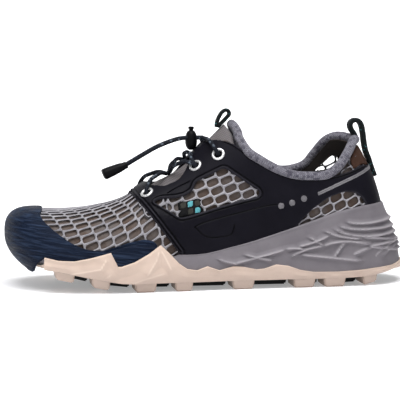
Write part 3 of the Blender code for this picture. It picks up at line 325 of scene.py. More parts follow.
def smooth(rows, column):
    """A function of x through one column of a table, smooth and with no overshoot."""
    x = along_to_x([row.along for row in rows])
    y = np.array([getattr(row, column) for row in rows], float)
    step = np.diff(x)
    slope = np.diff(y) / step
    tangent = np.concatenate([slope[:1], np.zeros(len(slope) - 1), slope[-1:]])
    same_way = np.flatnonzero(slope[:-1] * slope[1:] > 0)
    before, after = 2 * step[same_way + 1] + step[same_way], step[same_way + 1] + 2 * step[same_way]
    tangent[same_way + 1] = (before + after) / (before / slope[same_way] + after / slope[same_way + 1])

    def at(value):
        value = np.clip(value, x[0], x[-1])
        i = np.clip(np.searchsorted(x, value) - 1, 0, len(step) - 1)
        t = (value - x[i]) / step[i]
        return (y[i] * (1 + 2 * t) * (1 - t) ** 2 + tangent[i] * step[i] * t * (1 - t) ** 2
                + y[i + 1] * t * t * (3 - 2 * t) + tangent[i + 1] * step[i] * t * t * (t - 1))

    return at


def straight(rows, column):
    """A function of x through one column of a table, in straight runs."""
    x = along_to_x([row.along for row in rows])
    y = np.array([getattr(row, column) for row in rows], float)
    return lambda value: np.interp(value, x, y)


CENTRE, OUTER, INNER = (smooth(PLAN, column) for column in ("centre", "outer", "inner"))
BED, RIDGE, FULLNESS = (smooth(PROFILE, column) for column in ("bed", "ridge", "fullness"))
TOP_OUTER, TOP_INNER = (smooth(TOPLINE, column) for column in ("outer", "inner"))
WAVE, RIM, BASE, TREAD, FLARE = (straight(SOLE, column) for column in Sole._fields[1:])


# The last

def end_rounding(x):
    """1 along the middle of the shoe, falling to 0 at the heel and toe ends of the last."""
    heel_end, toe_end = along_to_x(LAST_HEEL), along_to_x(LAST_TOE)
    heel = np.clip(1 - (x - heel_end) / (HEEL_ROUND * SHOE_LENGTH), 0, 1)
    toe = np.clip(1 - (toe_end - x) / (TOE_ROUND * SHOE_LENGTH), 0, 1)
    return np.sqrt(1 - heel ** 2) * (1 - toe ** TOE_ROUND_POWER) ** (1 / TOE_ROUND_POWER)


def half_width(x, side):
    """Distance from the centre line to the edge of the foot bed. Side is +1 outer, -1 inner."""
    width = OUTER(x) if side > 0 else INNER(x)
    return width * BALL_WIDTH * end_rounding(x)


def spine_x(x):
    """Where the section of a station closes: straight across in the middle, drawn together at both ends."""
    heel, toe = along_to_x(HEEL_FAN), along_to_x(TOE_FAN)
    return (np.clip(x, heel, toe) + np.minimum(x - heel, 0) * HEEL_FAN_PULL
            + np.maximum(x - toe, 0) * TOE_FAN_PULL)


class Columns:
    """The upright sections of the last, from the heel along the outer side to the toe and back."""

    def __init__(self, stations):
        last = len(stations) - 1
        order = [(i, 1) for i in range(last + 1)] + [(i, -1) for i in range(last - 1, 0, -1)]
        self.count = len(order)
        self.half = last
        self.x = np.array([stations[i] for i, _ in order])
        self.side = np.array([side for _, side in order])
        width = np.where(self.side > 0, half_width(self.x, 1), half_width(self.x, -1))
        self.edge = np.stack([self.x, CENTRE(self.x) * BALL_WIDTH + self.side * width], 1)
        spine = spine_x(self.x)
        self.spine = np.stack([spine, CENTRE(spine) * BALL_WIDTH], 1)
        across = self.edge - self.spine
        self.depth = np.linalg.norm(across, axis=1)
        self.outward = across / self.depth[:, None]
        self.bed = BED(self.x) * INSTEP_HEIGHT
        self.ridge = RIDGE(spine) * INSTEP_HEIGHT
        self.fullness = FULLNESS(self.x)
        self.open = self.x < along_to_x(VAMP_POINT)
        top = np.where(self.side > 0, TOP_OUTER(self.x), TOP_INNER(self.x)) * HEEL_HEIGHT
        self.top = np.where(self.open, np.minimum(top, self.ridge), self.ridge)

    def at(self, offset, height):
        """Points that stand this far outside the edge of the foot bed, at this height."""
        plan = self.edge + self.outward * np.broadcast_to(offset, self.count)[:, None]
        return np.column_stack([plan, np.broadcast_to(height, self.count)])

    def x_at(self, offset):
        """Where along the shoe the points at this offset lie, which matters round the toe and heel."""
        return self.edge[:, 0] + self.outward[:, 0] * offset

    def bed_at(self, offset):
        return BED(self.x_at(offset)) * INSTEP_HEIGHT

    def angle(self, height):
        """The section's angle at a height: 0 at the bed and a right angle at the ridge."""
        share = np.clip((height - self.bed) / (self.ridge - self.bed), 0, 1)
        return np.arcsin(share ** (self.fullness / 2))

    def upper_offset(self, height):
        """How far the upper's outside stands from the edge of the bed at a height: negative is inward."""
        power = 2 / self.fullness
        return self.depth * (np.cos(self.angle(height)) ** power - 1)

    def section(self, angle):
        """Points on the outside of the upper at an angle of each section."""
        power = 2 / self.fullness
        inward = self.depth * (np.cos(angle) ** power - 1)
        rise = (self.ridge - self.bed) * np.sin(angle) ** power
        return self.at(inward, self.bed + rise)

    def undercut_offset(self, height):
        """Below the bed the form goes straight down, and under the toe it draws back."""
        start, end = along_to_x(TOE_UNDERCUT_START), along_to_x(LAST_TOE)
        share = np.clip((self.x - start) / (end - start), 0, 1)
        drop = np.clip((self.bed - height) / TOE_UNDERCUT_DROP, 0, None)
        most = np.minimum(TOE_UNDERCUT, self.depth * TOE_UNDERCUT_SHARE)
        return -most * share * share * (3 - 2 * share) * np.minimum(drop, 1) ** 2


def station_positions():
    """x of the stations: one on each feature of the outsole, and evenly spaced between them."""
    turn = np.linspace(0, math.pi, PLAN_FINE)
    heel_end, toe_end = along_to_x(LAST_HEEL), along_to_x(LAST_TOE)
    x = heel_end + (toe_end - heel_end) * (1 - np.cos(turn)) / 2
    y = (half_width(x, 1) + half_width(x, -1)) / 2
    run = np.concatenate([[0], np.cumsum(np.hypot(np.diff(x), np.diff(y)))])
    even = np.interp(np.linspace(0, run[-1], FINE_STATIONS + 1), run, x)
    features = along_to_x([row.along for row in SOLE[1:-1]])
    clear = [x for x in even if np.min(abs(features - x)) > FINE_CLEARANCE * SHOE_LENGTH]
    return np.sort(np.concatenate([clear, features]))


FORM = Columns(station_positions())


class Skin:
    """The outside of the upper and of the sole's core as a fine grid of columns u and levels v."""

    def __init__(self):
        below = []
        for share in np.linspace(1, 0, BELOW_LEVELS, endpoint=False):
            height = FORM.bed - TOE_UNDERCUT_DROP * share
            below.append(FORM.at(FORM.undercut_offset(height), height))
        shares = (1 - np.cos(np.linspace(0, math.pi, FINE_ANGLES))) / 2
        section = np.stack([FORM.section(share * math.pi / 2) for share in shares])
        step = np.linalg.norm(np.diff(section, axis=0), axis=2)
        run = np.concatenate([np.zeros((1, FORM.count)), np.cumsum(step, axis=0)])
        above = np.empty((GIRTH_LEVELS + 1, FORM.count, 3))
        for i in range(FORM.count):
            even = np.linspace(0, run[-1, i], GIRTH_LEVELS + 1)
            for axis in range(3):
                above[:, i, axis] = np.interp(even, run[:, i], section[:, i, axis])
        self.points = np.concatenate([np.stack(below), above])
        self.levels = len(self.points)
        self.bed = BELOW_LEVELS
        self.ridge = self.levels - 1
        forward = np.roll(self.points, -1, axis=1) - np.roll(self.points, 1, axis=1)
        upward = np.gradient(self.points, axis=0)
        normal = np.cross(upward, forward)
        opposite = -np.arange(FORM.count) % FORM.count
        closed = np.flatnonzero(~FORM.open)
        normal[-1, closed] += normal[-1, opposite[closed]]
        self.normals = normal / np.linalg.norm(normal, axis=2, keepdims=True)
        self.metric = np.array([np.linalg.norm(forward, axis=2).mean() / 2,
                                np.linalg.norm(upward[self.bed:], axis=2).mean()])

    def at(self, u, v, lift=0.0):
        """Points that stand this far off the surface at column u and level v."""
        u = np.asarray(u, float) % FORM.count
        v = np.clip(np.asarray(v, float), 0, self.levels - 1)
        i, j = np.floor(u).astype(int) % FORM.count, np.minimum(np.floor(v).astype(int), self.levels - 2)
        du, dv = (u - np.floor(u))[:, None], (v - j)[:, None]
        k = (i + 1) % FORM.count

        def blend(grid):
            low = grid[j, i] * (1 - du) + grid[j, k] * du
            high = grid[j + 1, i] * (1 - du) + grid[j + 1, k] * du
            return low * (1 - dv) + high * dv

        normal = blend(self.normals)
        normal /= np.linalg.norm(normal, axis=1, keepdims=True)
        return blend(self.points) + normal * np.broadcast_to(lift, len(u))[:, None]

    def locate(self, x, z, side):
        """Column and level of the point that the side view shows at x and z. Inner columns are negative."""
        reach = np.arange(FORM.half + 1)
        grid = self.points[:, reach if side > 0 else -reach]
        low = np.clip((grid[:, :, 2] < z).sum(axis=0) - 1, 0, self.levels - 2)
        z0, z1 = grid[low, reach, 2], grid[low + 1, reach, 2]
        share = np.clip((z - z0) / np.maximum(z1 - z0, 1e-9), 0, 1)
        across = grid[low, reach, 0] * (1 - share) + grid[low + 1, reach, 0] * share
        across = np.maximum.accumulate(across)
        u = np.interp(x, across, reach)
        v = np.interp(u, reach, low + share)
        return side * u, v

    def path(self, outline, side):
        """Skin coordinates of a list of (along, up) places in shares of the shoe's length."""
        return np.array([self.locate(x, z, side) for x, z in side_view(outline)])


SKIN = Skin()
METRIC = SKIN.metric


def on_level(x, up):
    """Skin coordinates at x and this far up from the ridge by level. Down the outer side is negative."""
    side = 1 if up <= 0 else -1
    level = max(SKIN.ridge - abs(up) / LEVEL_STEP, 0.0)
    low = min(int(level), SKIN.ridge - 1)
    reach = np.arange(FORM.half + 1)
    rows = SKIN.points[low:low + 2][:, side * reach, 0]
    return side * np.interp(x, rows[0] + (rows[1] - rows[0]) * (level - low), reach), level


# Meshes

WELD = 1e-6
ROUTE_FINE = 24
TUBE_SHARP = math.radians(70)


def placed(name, data):
    """An object of the scene that shows this mesh, light or camera."""
    made = bpy.data.objects.new(name, data)
    bpy.context.scene.collection.objects.link(made)
    return made


def finish_mesh(bm, name, sharp=SMOOTH_ANGLE, outward=True):
    """A smooth mesh, sharp past an angle. Its faces are turned outward unless told otherwise."""
    if outward:
        bmesh.ops.recalc_face_normals(bm, faces=bm.faces)
    mesh = bpy.data.meshes.new(name)
    bm.to_mesh(mesh)
    bm.free()
    mesh.shade_smooth()
    mesh.set_sharp_from_angle(angle=sharp)
    return mesh


def piece(name, mesh, materials, nodes=()):
    """A visible piece that rides on the shoe and stands for these nodes of the frame."""
    made = placed(name, mesh)
    if mesh.materials:
        mesh.materials.clear()
    for material in materials if isinstance(materials, (list, tuple)) else [materials]:
        mesh.materials.append(material)
    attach(made, "root")
    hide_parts(*nodes)
    return made


def mesh_of(points, faces, name, sharp=SMOOTH_ANGLE, merge=WELD):
    bm = bmesh.new()
    made = [bm.verts.new(point) for point in points]
    for face in faces:
        corners = list(dict.fromkeys(made[k] for k in face))
        if len(corners) > 2:
            bm.faces.new(corners)
    bmesh.ops.remove_doubles(bm, verts=bm.verts, dist=merge)
    return finish_mesh(bm, name, sharp)


def ring_faces(rows, columns, closed=True):
    """Quads between neighbouring rows of points that are numbered row by row."""
    last = columns if closed else columns - 1
    return [(r * columns + i, (r + 1) * columns + i, (r + 1) * columns + (i + 1) % columns,
             r * columns + (i + 1) % columns) for r in range(rows - 1) for i in range(last)]


def ladder(count, first):
    """Faces that fill a ring of columns straight across the shoe."""
    return [(first + i, first + i + 1, first + (count - i - 1) % count, first + (count - i) % count)
            for i in range(count // 2)]


def ring_solid(rings, name, sharp=SMOOTH_ANGLE):
    """A closed mesh through rings round the shoe, filled across at the first and the last."""
    count = len(rings[0])
    faces = ring_faces(len(rings), count) + ladder(count, 0) + ladder(count, (len(rings) - 1) * count)
    return mesh_of(np.concatenate(rings), faces, name, sharp)


def smooth_route(points, count, cyclic=False):
    """Evenly spaced points on a smooth curve through the route's own points."""
    knots = np.array([tuple(point) for point in points], float)
    if cyclic:
        ends = np.vstack([knots[-1], knots, knots[0], knots[1]])
    else:
        ends = np.vstack([2 * knots[0] - knots[1], knots, 2 * knots[-1] - knots[-2]])
    fine = []
    for a, b, c, d in zip(ends, ends[1:], ends[2:], ends[3:]):
        for t in np.linspace(0, 1, ROUTE_FINE, endpoint=False):
            fine.append(0.5 * (2 * b + (c - a) * t + (2 * a - 5 * b + 4 * c - d) * t ** 2
                               + (3 * b - a - 3 * c + d) * t ** 3))
    fine = np.vstack([fine, ends[-2]])
    run = run_along(fine)
    return at_lengths(fine, run, np.linspace(0, run[-1], count, endpoint=not cyclic))


def tube(points, radius, sides, name, cyclic=False, up=(0, 0, 1)):
    """A round cord with a UV map in metres: along its length, and round it."""
    points = np.asarray(points, float)
    count = len(points)
    tangent = np.roll(points, -1, 0) - np.roll(points, 1, 0) if cyclic else np.gradient(points, axis=0)
    tangent /= np.linalg.norm(tangent, axis=1)[:, None]
    across = np.cross(tangent[0], up)
    rows = []
    for t in tangent:
        across = across - t * np.dot(across, t)
        across /= np.linalg.norm(across)
        rows.append((across.copy(), np.cross(t, across)))
    radius = np.broadcast_to(radius, count)
    bm = bmesh.new()
    rings = []
    for place, (a, b), r in zip(points, rows, radius):
        turns = [2 * math.pi * k / sides for k in range(sides)]
        rings.append([bm.verts.new(place + r * (a * math.cos(w) + b * math.sin(w))) for w in turns])
    run = run_along(points)
    uv = bm.loops.layers.uv.new("along")
    pairs = [(k, k + 1) for k in range(count - 1)]
    girth = 2 * math.pi * float(radius.mean())
    for low, high in pairs + ([(count - 1, 0)] if cyclic else []):
        for k in range(sides):
            m = (k + 1) % sides
            face = bm.faces.new((rings[low][k], rings[low][m], rings[high][m], rings[high][k]))
            end = run[high] if high else run[-1] + np.linalg.norm(points[0] - points[-1])
            corners = ((run[low], k), (run[low], k + 1), (end, k + 1), (end, k))
            for loop, (along, turn) in zip(face.loops, corners):
                loop[uv].uv = (along, girth * turn / sides)
    if not cyclic:
        bm.faces.new(rings[0][::-1])
        bm.faces.new(rings[-1])
    return finish_mesh(bm, name, TUBE_SHARP)


def joined(meshes, name):
    """One mesh from several, with their UV maps and face materials kept."""
    bm = bmesh.new()
    for mesh in meshes:
        bm.from_mesh(mesh)
        bpy.data.meshes.remove(mesh)
    return finish_mesh(bm, name, outward=False)


# Regions of the skin

Relief = namedtuple("Relief", "path away half height")
RELIEF_SHARES = (-1, -0.5, 0, 0.5, 1)
RELIEF_SPACING = 0.4 * MM
ROW_SHARE = 0.8
ROW_LEAST = 0.3 * MM
GRID_FROM_EDGE = 0.4
GRID_FROM_ROWS = 0.45
POINTS_APART = 1e-7
EDGE_FINE = 5
NEAR_SEAM = 1e-4
NEAR_END = 1e-6


def rounded(outline, longest=0.020, passes=2):
    """A closed outline with its corners eased, by cutting them off twice."""
    points = []
    for a, b in zip(outline, outline[1:] + outline[:1]):
        count = max(1, math.ceil(math.dist(a, b) / longest))
        points += [(a[0] + (b[0] - a[0]) * k / count, a[1] + (b[1] - a[1]) * k / count) for k in range(count)]
    points = np.array(points)
    for _ in range(passes):
        after = np.roll(points, -1, axis=0)
        points = np.stack([points * 0.75 + after * 0.25, points * 0.25 + after * 0.75], 1).reshape(-1, 2)
    return points


def evenly(path, spacing, closed=True):
    """The same path in metres, with points this far apart."""
    points = np.vstack([path, path[:1]]) if closed else np.asarray(path)
    run = run_along(points * METRIC)
    count = max(4, int(run[-1] / spacing))
    return at_lengths(points, run, np.linspace(0, run[-1], count, endpoint=not closed))


def inside(points, loop):
    """True for each point that lies within a closed loop."""
    found = np.zeros(len(points), bool)
    x, y = points[:, 0], points[:, 1]
    for (x0, y0), (x1, y1) in zip(loop, np.roll(loop, -1, axis=0)):
        if y0 != y1:
            found ^= ((y0 > y) != (y1 > y)) & (x < (x1 - x0) * (y - y0) / (y1 - y0) + x0)
    return found


def beside(path, distances, closed):
    """Rows of points on both sides of a path in metres, with the distance of each."""
    if closed:
        tangent = np.roll(path, -1, axis=0) - np.roll(path, 1, axis=0)
    else:
        tangent = np.gradient(path, axis=0)
    normal = np.stack([-tangent[:, 1], tangent[:, 0]], 1)
    normal /= np.maximum(np.linalg.norm(normal, axis=1), 1e-9)[:, None]
    return [(path + normal * side * away, away) for away in distances for side in (1, -1)]


def nearest(points, targets):
    """Distance from each point to the nearest of the targets."""
    tree = kdtree.KDTree(len(targets))
    for k, target in enumerate(targets):
        tree.insert(tuple(target) + (0,) * (3 - len(target)), k)
    tree.balance()
    return np.array([tree.find(tuple(point) + (0,) * (3 - len(point)))[2] for point in points])


def triangulate(loops, holes, rows, reliefs, spacing):
    """Skin coordinates and triangles of a region, with rows of points beside its edges and reliefs."""
    flat = [loop * METRIC for loop in loops + holes]
    points, edges = [], []
    for loop in flat:
        first = len(points)
        points += list(loop)
        edges += [(first + k, first + (k + 1) % len(loop)) for k in range(len(loop))]
    border = np.array(points)
    extra = [row for loop in flat for row in beside(loop, rows, closed=True)]
    for relief in reliefs:
        offsets = [relief.away + relief.half * share for share in RELIEF_SHARES]
        extra += beside(relief.path * METRIC, [away for away in offsets if away >= 0], closed=False)
    kept = [np.empty((0, 2))]
    for row, away in extra:
        far = nearest(row, border) > max(ROW_SHARE * min(away, max(rows)), ROW_LEAST)
        kept.append(row[far])
    extra = np.concatenate(kept)
    low, high = border.min(axis=0), border.max(axis=0)
    across = np.arange(low[0], high[0], spacing)
    upward = np.arange(low[1], high[1], spacing)
    grid = np.array([(x + (k % 2) * spacing / 2, y) for k, y in enumerate(upward) for x in across])
    grid = grid[nearest(grid, border) > max(rows) + spacing * GRID_FROM_EDGE]
    if len(extra):
        grid = grid[nearest(grid, extra) > spacing * GRID_FROM_ROWS]
    candidates = np.concatenate([extra, grid])

    def within(places):
        found = np.zeros(len(places), bool)
        for loop in flat[:len(loops)]:
            found |= inside(places, loop)
        for loop in flat[len(loops):]:
            found &= ~inside(places, loop)
        return found

    points += list(candidates[within(candidates)])
    result = geometry.delaunay_2d_cdt([Vector(point) for point in points], edges, [], 0, POINTS_APART)
    places = np.array([tuple(vertex) for vertex in result[0]])
    faces = np.array(result[2])
    faces = faces[within(places[faces].mean(axis=1))]
    used, index = np.unique(faces, return_inverse=True)
    return places[used] / METRIC, index.reshape(faces.shape)


def edge_vertices(faces):
    """Numbers of the vertices on the open edges of a mesh of triangles."""
    ends = np.concatenate([faces[:, [0, 1]], faces[:, [1, 2]], faces[:, [2, 0]]])
    edge, count = np.unique(np.sort(ends, axis=1), axis=0, return_counts=True)
    return edge[count == 1]


def bump_shape(distance):
    return np.maximum(0, 1 - distance ** 2) ** 2


def overlay(name, loops, holes, base, thickness, edge, rows, reliefs=(), spacing=1.4 * MM):
    """A closed layer on the skin whose edge is rounded, with raised or sunk lines."""
    places, faces = triangulate(loops, holes, rows, reliefs, spacing)
    flat = SKIN.at(places[:, 0], places[:, 1])
    open_edges = edge_vertices(faces)
    on_seam = places[:, 1] > SKIN.ridge - NEAR_SEAM
    open_edges = open_edges[~on_seam[open_edges].all(axis=1)]
    steps = np.linspace(0, 1, EDGE_FINE)[:, None, None]
    border = (flat[open_edges[:, 0]] * (1 - steps) + flat[open_edges[:, 1]] * steps).reshape(-1, 3)
    distance = nearest(flat, border)
    near = np.clip(distance / edge, 0, 1)
    lift = base + thickness * np.sqrt(1 - (1 - near) ** 2)
    # The line attribute marks raised lines (+) and sunk lines (-); the film paints a highlight on the first
    # and shade in the second
    lines = np.zeros(len(flat))
    for relief in reliefs:
        fine = evenly(relief.path, RELIEF_SPACING, closed=False)
        away = nearest(flat, SKIN.at(fine[:, 0], fine[:, 1]))
        shape = bump_shape((away - relief.away) / relief.half) * near
        lift += relief.height * shape
        lines += math.copysign(1, relief.height) * shape
    on_edge = np.zeros(len(flat), bool)
    on_edge[open_edges.ravel()] = True
    lift[on_edge] = base
    top = SKIN.at(places[:, 0], places[:, 1], lift)
    under = SKIN.at(places[:, 0], places[:, 1], base)
    number = np.where(on_edge, np.arange(len(flat)), len(flat) + np.cumsum(~on_edge) - 1)
    points = np.concatenate([top, under[~on_edge]])
    bm = bmesh.new()
    rim, line = bm.verts.layers.float.new("rim"), bm.verts.layers.float.new("line")
    made = [bm.verts.new(point) for point in points]
    hidden = (~on_edge).sum()
    marks = zip(made, np.append(distance, np.ones(hidden)), np.append(lines, np.zeros(hidden)))
    for vertex, away, shape in marks:
        vertex[rim], vertex[line] = away, shape
    for a, b, c in faces:
        for corners in ((a, b, c), (number[c], number[b], number[a])):
            if len(set(corners)) == 3 and bm.faces.get([made[k] for k in corners]) is None:
                bm.faces.new([made[k] for k in corners])
    bmesh.ops.remove_doubles(bm, verts=bm.verts, dist=WELD)
    return finish_mesh(bm, name)


def circle(u, v, radius, count=20):
    """A closed loop this far round a place on the skin."""
    step = 0.5
    along = np.linalg.norm(SKIN.at([u + step], [v]) - SKIN.at([u - step], [v])) / (2 * step)
    upward = np.linalg.norm(SKIN.at([u], [v + step]) - SKIN.at([u], [v - step])) / (2 * step)
    turns = np.linspace(0, 2 * math.pi, count, endpoint=False)
    return np.stack([u + radius * np.cos(turns) / along, v + radius * np.sin(turns) / upward], 1)


# Materials

# Fade of the painted highlight on crests; height range and strength of the painted shade towards the floor
CREST_HIGHLIGHT_FADE = (0.35, 0.95)
FLOOR_SHADE_REACH = (2 * MM, 20 * MM)
FLOOR_SHADE_SHARE = 0.85
GLOSS_SPREAD = 0.1
GRAIN_DEPTH = 0.4 * MM
# Painted shade in the film's sunk lines
GROOVE_SHADE_COLOUR = (0.001, 0.001, 0.0012)
FINE_STREAKS = (32, 60, 520)
BROAD_STREAKS = (16, 30, 150)
STREAK_DEPTH = 1.4 * MM
THREAD_DEPTH = 0.5 * MM
LOOP_DEPTH = 0.7 * MM
LOOP_LEAN = 1.3
SCRATCHES = (900, 900, 140)
SCRATCH_DEPTH = 0.2 * MM


def add_node(tree, kind, settings=None, inputs=None):
    """A node of a tree with its settings made and its inputs set or linked."""
    node = tree.nodes.new(kind)
    for name, value in (settings or {}).items():
        setattr(node, name, value)
    for name, value in (inputs or {}).items():
        if isinstance(value, bpy.types.NodeSocket):
            tree.links.new(value, node.inputs[name])
        else:
            node.inputs[name].default_value = value
    return node


def calc(tree, operation, *values):
    """Result of a math node."""
    return add_node(tree, "ShaderNodeMath", {"operation": operation}, dict(enumerate(values))).outputs[0]


def new_group(name, inputs, outputs):
    """An empty shader group with these sockets: {name: default} and {name: kind}."""
    group = bpy.data.node_groups.new(name, "ShaderNodeTree")
    for socket, default in inputs.items():
        kind = "Vector" if default is None else "Color" if isinstance(default, tuple) else "Float"
        made = group.interface.new_socket(socket, in_out="INPUT", socket_type="NodeSocket" + kind)
        if default is not None:
            made.default_value = default
    for socket, kind in outputs.items():
        group.interface.new_socket(socket, in_out="OUTPUT", socket_type="NodeSocket" + kind)
    entry, out = group.nodes.new("NodeGroupInput"), group.nodes.new("NodeGroupOutput")
    return group, entry.outputs, out.inputs


def mottle_group():
    """Soft colour variation, fine grain and a wear mask, from a place in metres."""
    group, entry, out = new_group("mottle", {
        "Vector": None, "Colour": (0.5, 0.5, 0.5, 1), "Second": (0.4, 0.4, 0.4, 1), "Size": 60.0,
        "Grain": 900.0,
    }, {"Colour": "Color", "Grain": "Float", "Patch": "Float"})
    cloud, grain = (add_node(group, "ShaderNodeTexNoise", {}, {
        "Vector": entry["Vector"], "Scale": entry[scale], "Detail": detail, "Roughness": rough,
    }).outputs["Fac"] for scale, detail, rough in (("Size", 5.0, 0.6), ("Grain", 3.0, 0.7)))
    patch = add_node(group, "ShaderNodeMapRange", {},
                     {"Value": cloud, "From Min": 0.35, "From Max": 0.65}).outputs[0]
    mix = add_node(group, "ShaderNodeMix", {"data_type": "RGBA"},
                   {0: patch, 6: entry["Colour"], 7: entry["Second"]})
    for socket, value in (("Colour", mix.outputs[2]), ("Grain", grain), ("Patch", patch)):
        group.links.new(value, out[socket])
    return group


def wave(group, value, turns):
    """Sine of a value that is counted in turns."""
    return calc(group, "SINE", calc(group, "MULTIPLY", value, turns * 2 * math.pi))


def thread_group(name, sizes):
    """An empty group for threads, from a place in metres, with the parts of that place."""
    group, entry, out = new_group(name, {"Vector": None, **sizes}, {"Height": "Float", "Speckle": "Float"})
    return group, entry, out, add_node(group, "ShaderNodeSeparateXYZ", {}, {0: entry["Vector"]}).outputs


def end_threads(group, out, height, first, second):
    """Hands on a height, and a speckle that is the same all over each crossing or loop."""
    across, along = (calc(group, "FLOOR", value) for value in (first, second))
    spot = add_node(group, "ShaderNodeCombineXYZ", {}, {"X": across, "Y": along}).outputs[0]
    chance = add_node(group, "ShaderNodeTexWhiteNoise", {"noise_dimensions": "3D"}, {"Vector": spot})
    group.links.new(height, out["Height"])
    group.links.new(chance.outputs["Value"], out["Speckle"])
    return group


def weave_group():
    """Threads that cross: a height from two directions of a place, and a speckle for each crossing."""
    group, entry, out, place = thread_group("weave", {"Pitch": 1.2 * MM, "Skew": 0.0})
    skewed = calc(group, "MULTIPLY_ADD", place["Y"], entry["Skew"], place["X"])
    counter = calc(group, "SUBTRACT", place["Y"], calc(group, "MULTIPLY", place["X"], entry["Skew"]))
    first, second = (calc(group, "DIVIDE", value, entry["Pitch"]) for value in (skewed, counter))
    product = calc(group, "MULTIPLY", wave(group, first, 0.5), wave(group, second, 0.5))
    return end_threads(group, out, calc(group, "ABSOLUTE", product), first, second)


def knit_group():
    """Columns of V-shaped loops from a UV map in metres: a height, and a speckle for each loop."""
    group, entry, out, place = thread_group("knit", {"Wale": 2.0 * MM, "Course": 1.6 * MM})
    along = calc(group, "DIVIDE", place["X"], entry["Course"])
    across = calc(group, "DIVIDE", place["Y"], entry["Wale"])
    course = calc(group, "MULTIPLY_ADD", calc(group, "PINGPONG", across, 0.5), LOOP_LEAN, along)
    loops = calc(group, "ABSOLUTE", wave(group, course, 0.5))
    ribs = calc(group, "ABSOLUTE", wave(group, across, 1.0))
    return end_threads(group, out, calc(group, "MULTIPLY", loops, ribs), course, across)


MOTTLE = mottle_group()
WEAVE = weave_group()
KNIT = knit_group()


def paint(red, green, blue, share=1.0):
    return (share * red, share * green, share * blue, 1.0)


class Look:
    """A material with a Principled shader, and shorthand for its nodes."""

    def __init__(self, name, **constants):
        self.material = bpy.data.materials.new(name)
        self.material.use_nodes = True
        self.tree = self.material.node_tree
        self.shader = next(node for node in self.tree.nodes if node.type == "BSDF_PRINCIPLED")
        for socket, value in constants.items():
            self.shader.inputs[socket.replace("_", " ")].default_value = value

    def node(self, kind, settings=None, inputs=None):
        return add_node(self.tree, kind, settings, inputs)

    def place(self):
        return self.node("ShaderNodeTexCoord").outputs["Object"]

    def place_part(self, axis):
        return self.node("ShaderNodeSeparateXYZ", {}, {0: self.place()}).outputs[axis]

    def along(self):
        return self.node("ShaderNodeUVMap", {"uv_map": "along"}).outputs["UV"]

    def attribute(self, name):
        return self.node("ShaderNodeAttribute", {"attribute_name": name}).outputs["Fac"]

    def group(self, group, **inputs):
        return self.node("ShaderNodeGroup", {"node_tree": group}, inputs).outputs

    def mottle(self, colour, second, **sizes):
        return self.group(MOTTLE, Vector=self.place(), Colour=paint(*colour), Second=paint(*second), **sizes)

    def noise(self, vector, detail, roughness=0.5, distortion=0.0):
        inputs = {"Scale": 1.0, "Detail": detail, "Roughness": roughness, "Distortion": distortion}
        return self.node("ShaderNodeTexNoise", {}, {"Vector": vector, **inputs}).outputs["Fac"]

    def math(self, operation, *values):
        return calc(self.tree, operation, *values)

    def ranged(self, value, low, high, start=0.0, end=1.0):
        inputs = {"Value": value, "From Min": low, "From Max": high, "To Min": start, "To Max": end}
        return self.node("ShaderNodeMapRange", {}, inputs).outputs[0]

    def mixed(self, share, first, second):
        return self.node("ShaderNodeMix", {"data_type": "RGBA"}, {0: share, 6: first, 7: second}).outputs[2]

    def mapped(self, vector, **settings):
        return self.node("ShaderNodeMapping", {}, {"Vector": vector, **settings}).outputs[0]

    def to(self, socket, value):
        self.tree.links.new(value, self.shader.inputs[socket])

    def bump(self, height, strength, distance):
        node = self.node("ShaderNodeBump", {}, {"Height": height, "Strength": strength, "Distance": distance})
        self.to("Normal", node.outputs[0])


def mottled(name, colour, second, roughness, size=60.0, grain=900.0, bump=0.15, crest=None, low=None,
            **constants):
    """A moulded surface with a fine grain; if asked, crest paints a highlight on marked crests and low paints
    shade towards the floor.
    """
    look = Look(name, **constants)
    out = look.mottle(colour, second, Size=size, Grain=grain)
    shade = out["Colour"]
    # Painted highlight on marked crests
    if crest:
        shade = look.mixed(look.ranged(look.attribute("line"), *CREST_HIGHLIGHT_FADE), shade, paint(*crest))
    # Painted shade towards the floor
    if low:
        shade = look.mixed(look.ranged(look.place_part("Z"), *FLOOR_SHADE_REACH, FLOOR_SHADE_SHARE, 0.0), shade, paint(*low))
    look.to("Base Color", shade)
    gloss = (roughness - GLOSS_SPREAD, roughness + GLOSS_SPREAD)
    look.to("Roughness", look.ranged(out["Patch"], 0.0, 1.0, *gloss))
    look.bump(out["Grain"], bump, GRAIN_DEPTH)
    return look.material


def film_look(name, colour, second, pale_colour):
    """Matt film: fine grain, a cloudy gloss, edges worn lighter, a painted highlight on raised lines and
    painted shade in the grooves.
    """
    look = Look(name, Specular_IOR_Level=0.06)
    out = look.mottle(colour, second, Size=38.0, Grain=1500.0)
    edge, line = look.attribute("rim"), look.attribute("line")
    worn = look.math("MULTIPLY", look.ranged(edge, 0.2 * MM, 1.2 * MM, 0.9, 0.0), out["Grain"])
    # Edges worn lighter, plus a painted highlight on raised lines
    raised = look.math("MAXIMUM", worn, look.ranged(line, 0.1, 1.0, 0.0, 0.45))
    shade = look.mixed(raised, out["Colour"], paint(*pale_colour))
    # Painted shade in the grooves
    look.to("Base Color", look.mixed(look.ranged(line, -0.8, -0.1, 0.9, 0.0), shade, paint(*GROOVE_SHADE_COLOUR)))
    look.to("Roughness", look.ranged(out["Patch"], 0.0, 1.0, 0.42, 0.60))
    look.bump(out["Grain"], 0.22, GRAIN_DEPTH)
    return look.material


